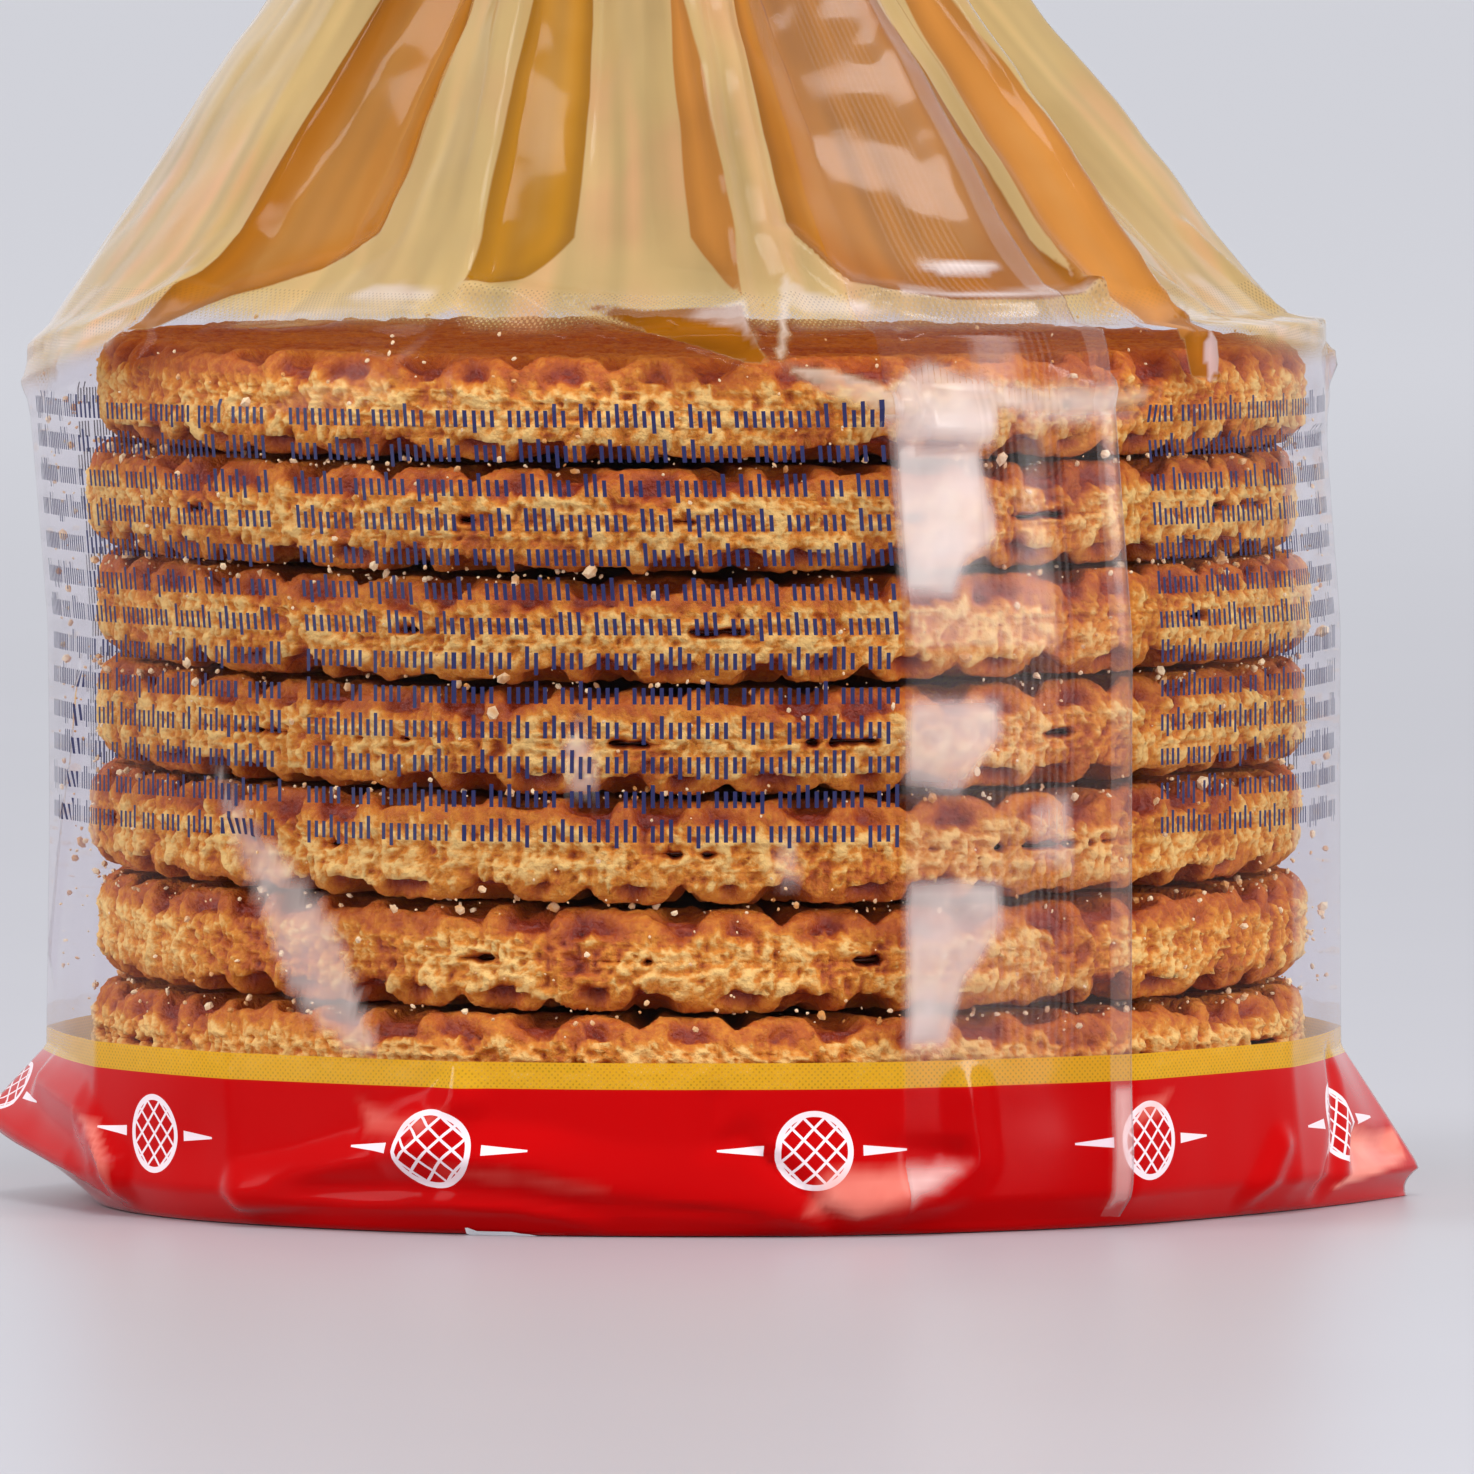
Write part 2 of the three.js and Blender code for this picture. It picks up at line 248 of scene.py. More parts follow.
class Sketch:
    """A material's nodes, laid down one after another."""

    COLOUR_A, COLOUR_B, MIXED_COLOUR = 6, 7, 2

    def __init__(self, name: str) -> None:
        """Starts an empty material of this name."""
        self.material = bpy.data.materials.new(name)
        self.material.use_nodes = True
        self.tree = self.material.node_tree
        self.tree.nodes.clear()
        self.output = self.tree.nodes.new("ShaderNodeOutputMaterial")

    def node(self, kind: str, settings: dict[str, object] | None = None, **inputs: object) -> bpy.types.Node:
        """Adds a node.

        Args:
            kind: Its type, without the leading ShaderNode.
            settings: Its own properties by name.
            **inputs: A value or an output socket for each input, with underscores for spaces.

        Returns:
            The node.
        """
        made = self.tree.nodes.new("ShaderNode" + kind)
        for key, value in (settings or {}).items():
            setattr(made, key, value)
        for key, value in inputs.items():
            self.feed(made.inputs[key.replace("_", " ")], value)
        return made

    def feed(self, socket: bpy.types.NodeSocket, value: object) -> None:
        """Links an output to an input socket, or sets the input's own value."""
        if isinstance(value, bpy.types.NodeSocket):
            self.tree.links.new(value, socket)
        else:
            socket.default_value = value

    def maths(self, operation: str, *values: object, clamp: bool = False) -> bpy.types.NodeSocket:
        """The result of a Math node on numbers and output sockets, kept between 0 and 1 if clamped."""
        made = self.node("Math", {"operation": operation, "use_clamp": clamp})
        for socket, value in zip(made.inputs, values):
            self.feed(socket, value)
        return made.outputs[0]

    def step(self, value: object, low: float, high: float) -> bpy.types.NodeSocket:
        """A smooth step of a value from 0 at low to 1 at high."""
        made = self.node("MapRange", {"interpolation_type": "SMOOTHSTEP"}, Value=value)
        made.inputs["From Min"].default_value = low
        made.inputs["From Max"].default_value = high
        return made.outputs["Result"]

    def blend(self, share: object, first: object, second: object) -> bpy.types.NodeSocket:
        """Mixes two colours, with this share of the second one."""
        made = self.node("Mix", {"data_type": "RGBA"})
        self.feed(made.inputs[0], share)
        self.feed(made.inputs[self.COLOUR_A], first)
        self.feed(made.inputs[self.COLOUR_B], second)
        return made.outputs[self.MIXED_COLOUR]

    def layer(self, share: object, under: Shader, over: Shader) -> Shader:
        """Mixes two shaders, with this share of the second one."""
        made = self.node("MixShader")
        for socket, value in zip(made.inputs, (share, under, over)):
            self.feed(socket, value)
        return made.outputs[0]

    def ramp(self, value: object, stops: list[tuple[float, tuple]]) -> bpy.types.NodeSocket:
        """A colour ramp over a value, from its stops of place and colour."""
        made = self.node("ValToRGB", Fac=value)
        while len(made.color_ramp.elements) < len(stops):
            made.color_ramp.elements.new(1.0)
        for element, (place, colour) in zip(made.color_ramp.elements, stops):
            element.position = place
            element.color = colour
        return made.outputs[0]

    def attribute(self, name: str, output: str = "Fac") -> bpy.types.NodeSocket:
        """The number, or with output Color the colour, that a mesh stores for each of its points."""
        return self.node("Attribute", {"attribute_name": name}).outputs[output]

    def noise(self, size: float, detail: float) -> bpy.types.NodeSocket:
        """Random relief from 0 to 1 on the piece's own coordinates, its bumps this many millimetres apart."""
        place = self.node("TexCoord").outputs["Object"]
        mapping = self.node("Mapping", Vector=place)
        mapping.inputs["Scale"].default_value = [1 / (size * MM)] * 3
        made = self.node("TexNoise", Vector=mapping.outputs[0], Scale=1.0, Detail=detail, Roughness=0.6)
        return made.outputs["Fac"]

    def bump(self, height: bpy.types.NodeSocket, depth: float) -> bpy.types.NodeSocket:
        """A normal bent by a height, whose full range is depth millimetres deep."""
        return self.node("Bump", Height=height, Strength=1.0, Distance=depth * MM).outputs["Normal"]

    def finish(self, surface: Shader) -> bpy.types.Material:
        """Ends the material in a surface shader, and returns it."""
        self.tree.links.new(surface, self.output.inputs["Surface"])
        return self.material

    def solid(self, **inputs: object) -> bpy.types.Material:
        """Ends the material in a Principled shader with these inputs, and returns it."""
        return self.finish(self.node("BsdfPrincipled", **inputs).outputs[0])


@dataclass(frozen=True)
class WaffleFinish:
    """Baked waffle: pale crumb where it is cut, and a browner, slightly greasy crust."""

    crumb: tuple = byte_colour(240, 198, 118)
    golden: tuple = byte_colour(215, 136, 36)
    amber: tuple = byte_colour(184, 90, 10)
    brown: tuple = byte_colour(146, 50, 6)
    dark: tuple = byte_colour(118, 28, 4)
    stops: tuple[float, ...] = (0.02, 0.26, 0.5, 0.76, 1.0)
    speck_size: float = 0.5
    speck_share: float = 0.55
    speck_depth: float = 0.26
    dull: float = 0.9
    greasy: float = 0.45

    def material(self) -> bpy.types.Material:
        """Builds the material, which reads how far each point is browned in the oven, with painted shade
        added in crevices, cracks and the lower leaves' pits.
        """
        sketch = Sketch("waffle")
        specks = sketch.noise(self.speck_size, 2.0)
        baked_and_shaded = sketch.attribute("baked_and_shaded")
        toned = sketch.maths("MULTIPLY_ADD", sketch.maths("SUBTRACT", specks, 0.5), self.speck_share, baked_and_shaded)
        tones = (self.crumb, self.golden, self.amber, self.brown, self.dark)
        colour = sketch.ramp(toned, list(zip(self.stops, tones)))
        roughness = sketch.node("MapRange", Value=toned)
        roughness.inputs["To Min"].default_value = self.dull
        roughness.inputs["To Max"].default_value = self.greasy
        normal = sketch.bump(specks, self.speck_depth)
        return sketch.solid(Base_Color=colour, Roughness=roughness.outputs[0], Normal=normal)


@dataclass(frozen=True)
class CaramelFinish:
    """Dark syrup between the two leaves of a waffle."""

    syrup: tuple = byte_colour(120, 46, 8)
    deep: tuple = byte_colour(48, 12, 3)
    cloud_size: float = 1.8
    cloud_depth: float = 0.2
    roughness: float = 0.22

    def material(self) -> bpy.types.Material:
        """Builds the material."""
        sketch = Sketch("caramel")
        cloud = sketch.noise(self.cloud_size, 2.0)
        colour = sketch.blend(cloud, self.syrup, self.deep)
        normal = sketch.bump(cloud, self.cloud_depth)
        return sketch.solid(Base_Color=colour, Roughness=self.roughness, Normal=normal)


@dataclass(frozen=True)
class CrumbFinish:
    """Loose crumbs, from pale to golden."""

    pale: tuple = byte_colour(246, 222, 176)
    golden: tuple = byte_colour(214, 150, 74)
    tone_size: float = 2.2
    tone_ends: Point = (0.42, 0.66)
    grit_size: float = 0.3
    grit_depth: float = 0.12
    roughness: float = 0.7

    def material(self) -> bpy.types.Material:
        """Builds the material."""
        sketch = Sketch("crumb")
        tone = sketch.step(sketch.noise(self.tone_size, 2.0), *self.tone_ends)
        colour = sketch.blend(tone, self.pale, self.golden)
        normal = sketch.bump(sketch.noise(self.grit_size, 3.0), self.grit_depth)
        return sketch.solid(Base_Color=colour, Roughness=self.roughness, Normal=normal)


@dataclass(frozen=True)
class FoilFinish:
    """Gold foil on the twist tie."""

    gold: tuple = byte_colour(214, 168, 72)
    bronze: tuple = byte_colour(176, 126, 44)
    crinkle_size: float = 0.9
    crinkle_depth: float = 0.12
    roughness: float = 0.3
    metal: float = 0.85

    def material(self) -> bpy.types.Material:
        """Builds the material."""
        sketch = Sketch("gold_foil")
        crinkle = sketch.noise(self.crinkle_size, 3.0)
        colour = sketch.blend(crinkle, self.gold, self.bronze)
        normal = sketch.bump(crinkle, self.crinkle_depth)
        return sketch.solid(Base_Color=colour, Roughness=self.roughness, Normal=normal, Metallic=self.metal)


class Zone(Enum):
    """The parts of the film with a print of their own, from the base up."""

    BAND = "red_band"
    STRIPE = "yellow_stripe"
    WALL = "clear_wall"
    FRINGE = "screened_fringe"
    ROOF = "printed_roof"
    CROWN = "crown"
    # Wall faces under painted highlight patches, with a material of their own.
    HIGHLIT_WALL = "painted_highlight_wall"


class Ink(Enum):
    """The inks of the fields on the roof, as display colours; the last one is no ink but a painted highlight.
    """

    CREAM = (216, 189, 128)
    AMBER = (190, 118, 4)
    GOLD = (194, 135, 12)
    PEACH = (222, 150, 64)
    # No ink: a painted highlight, a white oval of reflected light.
    WHITE = (240, 214, 212)

    @property
    def colour(self) -> tuple:
        """The linear colour."""
        return byte_colour(*self.value)


@dataclass(frozen=True)
class Gloss:
    """How blurred a film's mirror image is, and how much it mirrors where it is seen square on."""

    rough: float
    facing: float


ZONE_GLOSS = {
    Zone.BAND: Gloss(0.17, 0.005),
    Zone.STRIPE: Gloss(0.1, 0.02),
    Zone.WALL: Gloss(0.07, 0.003),
    Zone.FRINGE: Gloss(0.11, 0.006),
    Zone.ROOF: Gloss(0.11, 0.012),
    Zone.CROWN: Gloss(0.12, 0.03),
    Zone.HIGHLIT_WALL: Gloss(0.1, 0.003),
}
SEAM_GLOSS = Gloss(0.12, 0.013)


@dataclass(frozen=True)
class FilmFinish:
    """Clear glossy film printed with a red band, a yellow stripe, rows of ticks and a cream top, with painted
    highlights on it.
    """

    red: tuple = byte_colour(186, 0, 2)
    yellow: tuple = byte_colour(236, 182, 20)
    tint: tuple = (0.945, 0.92, 0.95, 1.0)
    mirror: tuple = (1.0, 0.985, 0.985, 1.0)
    navy: tuple = byte_colour(16, 19, 74)
    navy_roughness: float = 0.35
    white: tuple = byte_colour(240, 222, 226)
    # bright is the colour of the painted highlights on the film, along its folds and on its seam.
    bright: tuple = byte_colour(250, 242, 238)
    # salmon is the painted highlight on the red band.
    salmon: tuple = byte_colour(246, 150, 132)
    shine_through: float = 0.35
    full_cover: float = 0.97
    dot_pitch: float = 0.3
    dot_sharpness: float = 6.0
    stripe_holes: float = 0.34
    # The fold lines are painted highlights, on the band and on the roof.
    band_fold_edge: Point = (-0.1, 0.12)
    band_fold_share: float = 0.45
    fringe_share: float = 0.6
    ink_edge: Point = (-0.1, 0.16)
    ink_cover: float = 0.76
    roof_fold_edge: Point = (-0.1, 0.14)
    roof_fold_cover: float = 0.7
    roof_stain: float = 0.75
    ornament_height: float = 5.9
    ornament_pitch: float = 26.1
    ornament_shift: float = 318.05
    ornament_radius: float = 2.5
    ring_half: float = 0.2
    lattice_pitch: float = 0.75
    lattice_half: float = 0.13
    stroke_gap: float = 0.9
    stroke_end: float = 6.6
    stroke_half: float = 0.66
    stroke_taper: float = -0.09
    rib_pitch: float = 0.62
    ribs_middle: float = 24.4
    ribs_half: float = 3.4
    rib_veil: float = 0.035
    seam_veil: float = 0.02
    stripe_top: float = 11.85
    free_from: float = 30.6
    # A painted highlight along the seam's free edge.
    free_edge_highlight: float = 0.08

    def dots(self, sketch: Sketch, across: object, up: object, fill: object) -> bpy.types.NodeSocket:
        """A halftone screen turned by 45 degrees: 1 in its round dots, which grow with the fill, else 0."""
        reach = 2 * math.pi / self.dot_pitch / math.sqrt(2)
        first = sketch.maths("COSINE", sketch.maths("MULTIPLY", sketch.maths("ADD", across, up), reach))
        second = sketch.maths("COSINE", sketch.maths("MULTIPLY", sketch.maths("SUBTRACT", across, up), reach))
        wave = sketch.maths("MULTIPLY_ADD", sketch.maths("ADD", first, second), 0.25, 0.5)
        edge = sketch.maths("SUBTRACT", 1.0, fill)
        return sketch.maths("MULTIPLY", sketch.maths("SUBTRACT", wave, edge), self.dot_sharpness, clamp=True)

    def ornaments(self, sketch: Sketch, across: object, up: object) -> bpy.types.NodeSocket:
        """A small round waffle between two tapered strokes, repeated along the band."""
        turned = sketch.maths("ADD", across, self.ornament_shift)
        share = sketch.maths("FRACT", sketch.maths("DIVIDE", turned, self.ornament_pitch))
        aside = sketch.maths("MULTIPLY", sketch.maths("SUBTRACT", share, 0.5), self.ornament_pitch)
        rise = sketch.maths("SUBTRACT", up, self.ornament_height)
        squares = [sketch.maths("POWER", value, 2.0) for value in (aside, rise)]
        apart = sketch.maths("SQRT", sketch.maths("ADD", *squares))
        ring = sketch.maths("COMPARE", apart, self.ornament_radius, self.ring_half)
        disc = sketch.maths("LESS_THAN", apart, self.ornament_radius)
        first = sketch.maths("PINGPONG", sketch.maths("ADD", aside, rise), self.lattice_pitch)
        second = sketch.maths("PINGPONG", sketch.maths("SUBTRACT", aside, rise), self.lattice_pitch)
        lattice = sketch.maths("LESS_THAN", sketch.maths("MINIMUM", first, second), self.lattice_half)
        out = sketch.maths("ABSOLUTE", aside)
        taper = sketch.maths("MULTIPLY_ADD", out, self.stroke_taper, self.stroke_half)
        stroke = sketch.maths("LESS_THAN", sketch.maths("ABSOLUTE", rise), taper)
        near = sketch.maths("GREATER_THAN", out, self.ornament_radius + self.stroke_gap)
        far = sketch.maths("LESS_THAN", out, self.stroke_end)
        waffle = sketch.maths("MAXIMUM", ring, sketch.maths("MULTIPLY", disc, lattice))
        strokes = sketch.maths("MULTIPLY", stroke, sketch.maths("MULTIPLY", near, far))
        return sketch.maths("MAXIMUM", waffle, strokes)

    def glazed(self, sketch: Sketch, under: Shader, gloss: Gloss, part: object = None) -> bpy.types.Material:
        """Lays the film's gloss over a shader, alike from both sides, and ends the material.

        Args:
            sketch: The material's nodes.
            under: The shader below the gloss.
            gloss: What the gloss is like.
            part: Where there is gloss, or None for all over.

        Returns:
            The material.
        """
        mirrored = sketch.node("BsdfGlossy", Color=self.mirror, Roughness=gloss.rough)
        slant = sketch.node("LayerWeight", Blend=0.5).outputs["Facing"]
        grazing = sketch.maths("POWER", slant, 5.0)
        share = sketch.maths("MULTIPLY_ADD", grazing, 1 - gloss.facing, gloss.facing)
        if part is not None:
            share = sketch.maths("MULTIPLY", share, part)
        return sketch.finish(sketch.layer(share, under, mirrored.outputs[0]))

    def printed(self, sketch: Sketch, solid: object, colour: object, stain: float = 0.0) -> Shader:
        """Ink on clear film, also used to lay painted highlights on it.

        Args:
            sketch: The material's nodes.
            solid: How much the ink covers.
            colour: The ink's colour.
            stain: How far full ink colours the light that still passes.

        Returns:
            The shader.
        """
        ink = sketch.node("BsdfDiffuse", Color=colour).outputs[0]
        shine = sketch.node("BsdfTranslucent", Color=colour).outputs[0]
        passed = self.tint
        if stain:
            passed = sketch.blend(sketch.maths("MULTIPLY", solid, stain), self.tint, colour)
        clear = sketch.node("BsdfTransparent", Color=passed).outputs[0]
        return sketch.layer(solid, clear, sketch.layer(self.shine_through, ink, shine))

    def chart(self, sketch: Sketch) -> tuple[bpy.types.NodeSocket, bpy.types.NodeSocket]:
        """Millimetres round the bag and up the film."""
        split = sketch.node("SeparateXYZ", Vector=sketch.node("UVMap", {"uv_map": "print"}).outputs[0])
        return split.outputs["X"], split.outputs["Y"]

    def under_gloss(self, sketch: Sketch, zone: Zone) -> Shader:
        """Builds what lies below the gloss in one zone."""
        if zone is Zone.WALL:
            return sketch.node("BsdfTransparent", Color=self.tint).outputs[0]
        # Painted highlight patches on the wall.
        if zone is Zone.HIGHLIT_WALL:
            return self.printed(sketch, sketch.attribute("veil_and_highlight"), self.bright)
        if zone is Zone.CROWN:
            return self.printed(sketch, self.full_cover, self.red)
        if zone in (Zone.ROOF, Zone.FRINGE):
            return self.roof_print(sketch, zone is Zone.FRINGE)
        across, up = self.chart(sketch)
        if zone is Zone.STRIPE:
            holes = self.dots(sketch, across, up, self.stripe_holes)
            solid = sketch.maths("MULTIPLY_ADD", holes, -self.stripe_holes, self.full_cover)
            return self.printed(sketch, solid, self.yellow)
        colour = sketch.blend(self.ornaments(sketch, across, up), self.red, self.white)
        # Painted highlight on the band: salmon in the patches and along the folds.
        fold = sketch.step(sketch.attribute("fold"), *self.band_fold_edge)
        fold = sketch.maths("MULTIPLY", fold, self.band_fold_share)
        glow = sketch.maths("MAXIMUM", sketch.attribute("veil_and_highlight"), fold)
        return sketch.node("BsdfDiffuse", Color=sketch.blend(glow, colour, self.salmon)).outputs[0]

    def roof_print(self, sketch: Sketch, screened: bool) -> Shader:
        """The inks of the roof with the painted highlights mixed in, screened in dots at its fringe, and
        painted highlight lines along its folds.
        """
        cover = sketch.attribute("cover")
        if screened:
            screen = self.dots(sketch, *self.chart(sketch), cover)
            cover = sketch.maths("MULTIPLY_ADD", screen, self.fringe_share, cover)
            cover = sketch.maths("MULTIPLY", cover, self.fringe_share)
            # The painted highlight patches cover the film in the fringe.
            cover = sketch.maths("MAXIMUM", cover, sketch.attribute("veil_and_highlight"))
        inside = sketch.step(sketch.attribute("ink_edge"), *self.ink_edge)
        colour = sketch.blend(inside, sketch.attribute("ground_and_highlight", "Color"), sketch.attribute("ink", "Color"))
        cover = sketch.maths("MAXIMUM", cover, sketch.maths("MULTIPLY", inside, self.ink_cover))
        # Painted highlight lines along the folds.
        fold = sketch.step(sketch.attribute("fold"), *self.roof_fold_edge)
        colour = sketch.blend(fold, colour, self.bright)
        cover = sketch.maths("MAXIMUM", cover, sketch.maths("MULTIPLY", fold, self.roof_fold_cover))
        return self.printed(sketch, cover, colour, self.roof_stain)

    def material(self, zone: Zone) -> bpy.types.Material:
        """Builds the film of one zone."""
        sketch = Sketch(zone.value)
        return self.glazed(sketch, self.under_gloss(sketch, zone), ZONE_GLOSS[zone])

    def tick_material(self) -> bpy.types.Material:
        """Builds the navy ink of the rows of ticks."""
        return Sketch("navy_ink").solid(Base_Color=self.navy, Roughness=self.navy_roughness)

    def seam_material(self) -> bpy.types.Material:
        """Builds the lap seam: clear film with fine upright crimp lines, a painted highlight along its free
        edge, and painted highlight patches.
        """
        sketch = Sketch("lap_seam")
        across, up = self.chart(sketch)
        ribs = sketch.maths("SINE", sketch.maths("MULTIPLY", across, 2 * math.pi / self.rib_pitch))
        crimped = sketch.maths("COMPARE", across, self.ribs_middle, self.ribs_half)
        on_wall = sketch.maths("GREATER_THAN", up, self.stripe_top)
        on_free_edge = sketch.maths("GREATER_THAN", across, self.free_from)
        crimp = sketch.maths("MULTIPLY", sketch.maths("MULTIPLY", ribs, crimped), self.rib_veil)
        veil = sketch.maths("MULTIPLY", sketch.maths("ADD", crimp, self.seam_veil), on_wall)
        # Painted highlight: the free edge is painted whitish.
        free = sketch.maths("MULTIPLY", on_free_edge, self.free_edge_highlight)
        # The painted highlight patches are added to the veil.
        veil_and_highlight = sketch.maths("ADD", sketch.maths("ADD", free, veil), sketch.attribute("veil_and_highlight"), clamp=True)
        glossy = sketch.maths("MAXIMUM", on_wall, on_free_edge)
        return self.glazed(sketch, self.printed(sketch, veil_and_highlight, self.bright), SEAM_GLOSS, glossy)


# The bag's film


@dataclass(frozen=True)
class Ear:
    """A corner of the folded bottom seal, which stands out past the round wall."""

    bearing: float
    reach: float
    tip_height: float
    foot_reach: float
    half_width: float


@dataclass(frozen=True)
class Pleat:
    """A fold up the roof, from its bearing at the shoulder to its bearing at the neck."""

    foot: float
    head: float
    valley: float


@dataclass(frozen=True)
class Crease:
    """A fold line pressed into the film.

    Its path goes through places given as bearing and millimetres up the film. It stands out by its rise,
    over its width to each side, and bright is how wide the painted highlight line along it is.
    """

    path: tuple[Point, ...]
    rise: float
    width: float
    bright: float = 0.0


@dataclass(frozen=True)
class Dent:
    """A soft hollow or bulge, given by its middle and its size across and up."""

    bearing: float
    up: float
    across: float
    tall: float
    rise: float


@dataclass(frozen=True)
class PaintedHighlight:
    """A patch of painted highlight, where the film is painted milky to stand for a reflection of the lamps.

    Its corners are bearing and millimetres up the film, and soft is how wide its edge fades.
    """

    strength: float
    soft: float
    corners: tuple[Point, ...]


@dataclass(frozen=True)
class Facet:
    """A flat tilted patch pressed into the film.

    Its corners are bearing and millimetres up the film. It stands out by its rise at their middle, and its
    slopes are how much further it stands out for each millimetre across and up.
    """

    corners: tuple[Point, ...]
    slope_across: float
    slope_up: float
    rise: float = 0.0


@dataclass(frozen=True)
class Field:
    """A field of one ink on the roof, or of the painted highlight colour, by its corners as bearing and
    millimetres up the film.
    """

    ink: Ink
    corners: tuple[Point, ...]


@dataclass(frozen=True)
class BagForm:
    """The shape of the film, from the same sizes as the solid that it stands for."""

    waffle_diameter: float = 84.0
    waffle_pitch: float = 7.45
    waffle_count: int = 8
    side_slack: float = 3.0
    foot_radius: float = 43.0
    foot_from: float = 37.0
    hem_height: float = 2.4
    shoulder_below_top: float = 1.4
    shoulder_round_below: float = 2.7
    shoulder_round_above: float = 3.0
    crease_flatness: float = 0.6
    neck_radius: float = 7.4
    neck_height: float = 109.4
    neck_length: float = 6.0
    neck_round_below: float = 5.5
    neck_round_above: float = 1.0
    neck_offset: Point = (-5.2, 1.5)
    lean_from: float = 40.0
    fullness: float = 0.65
    deepest: float = 0.42
    shallowest: float = 0.16
    ruffle_radius: float = 21.5
    ruffle_length: float = 21.0
    ruffle_waist: float = 3.0
    ruffle_wave: float = 1.4
    ruffle_swings: tuple[int, int] = (3, 5)
    ruffle_rim: tuple[Point, ...] = ((-0.3, 0.1), (-0.9, -0.4))
    ruffle_inside: float = -0.9
    closing_shares: tuple[float, ...] = (0.6, 0.3, 0.0)
    closing_drop: float = 1.5
    ear_top: float = 10.5
    ears: tuple[Ear, ...] = (
        Ear(90, 50.5, 2.0, 49.6, 38),
        Ear(-90, 49.6, 5.6, 40.8, 36),
    )
    pleats: tuple[Pleat, ...] = (
        Pleat(-90, -88, 0.12), Pleat(-63, -54, 1.0), Pleat(-24, -22, 0.8), Pleat(6, 6, 0.75),
        Pleat(39, 35, 0.35), Pleat(51, 53, 0.9), Pleat(87, 86, 0.85), Pleat(117, 116, 1.0),
        Pleat(150, 149, 0.85), Pleat(180, 180, 1.0), Pleat(210, 213, 0.9), Pleat(240, 242, 0.8),
    )
    wall_creases: tuple[float, ...] = (
        -90, -66, -45, -21, 0, 18, 42, 66, 90, 117, 144, 168, 192, 219, 243,
    )
    base_rows: int = 14
    ear_rows: int = 8
    wall_rows: int = 12
    shoulder_steps: int = 12
    roof_rows: int = 30
    neck_steps: int = 8
    ruffle_steps: int = 16
    inside_rows: int = 8

    @property
    def wall_radius(self) -> float:
        """The wall's radius."""
        return self.waffle_diameter / 2 + self.side_slack

    @property
    def shoulder_height(self) -> float:
        """Where the wall would meet the roof if the edge were sharp."""
        return self.waffle_count * self.waffle_pitch - self.shoulder_below_top

    @property
    def neck_top(self) -> float:
        """Where the neck ends and the ruffle starts."""
        return self.neck_height + self.neck_length

    @property
    def ruffle_top(self) -> float:
        """Where the ruffle's rim is before it waves."""
        return self.neck_top + self.ruffle_length

    @staticmethod
    def span(bearings: np.ndarray, marks: list[float]) -> tuple[np.ndarray, np.ndarray]:
        """The index of the mark before each bearing, and how far along to the next mark it is."""
        ring = np.array([*marks, marks[0] + FULL_TURN])
        turned = (bearings - marks[0]) % FULL_TURN + marks[0]
        index = np.clip(np.searchsorted(ring, turned, side="right") - 1, 0, len(marks) - 1)
        return index, (turned - ring[index]) / (ring[index + 1] - ring[index])

    def on_roof(self, height: float) -> np.ndarray:
        """The radius and height of the straight roof's ridges at a height."""
        slope = (self.wall_radius - self.neck_radius) / (self.neck_height - self.shoulder_height)
        return np.array([self.wall_radius - slope * (height - self.shoulder_height), height])

    def roof_profile(self, wall_top: float) -> np.ndarray:
        """Radius and height from just above the wall's top over the shoulder and the roof into the neck."""
        start = self.on_roof(self.shoulder_height + self.shoulder_round_above)
        end = self.on_roof(self.neck_height - self.neck_round_below)
        edge, foot = (self.wall_radius, self.shoulder_height), (self.neck_radius, self.neck_height)
        neck_end = (self.neck_radius, self.neck_height + self.neck_round_above)
        shoulder = bezier((self.wall_radius, wall_top), edge, start, self.shoulder_steps)
        straight = np.linspace(start, end, self.roof_rows)
        neck = bezier(end, foot, neck_end, self.neck_steps)
        return np.vstack([shoulder[1:], straight[1:], neck[1:]])

    def ruffle_profile(self) -> list[Point]:
        """Radius and height up the ruffle, over its rim, and down inside it to the closed middle."""
        top = self.ruffle_top
        waist = (self.neck_radius + self.ruffle_waist, self.neck_top + self.ruffle_length / 2)
        flare = bezier((self.neck_radius, self.neck_top), waist, (self.ruffle_radius, top), self.ruffle_steps)
        inside = [(self.ruffle_radius + inwards, top + up) for inwards, up in self.ruffle_rim]
        below_rim = flare[::-1][1:self.inside_rows + 1]
        inside += [(radius + self.ruffle_inside, height) for radius, height in below_rim]
        radius, height = inside[-1]
        for share in self.closing_shares:
            inside.append((radius * share, height - (1 - share) * self.closing_drop))
        return [*flare, *inside]

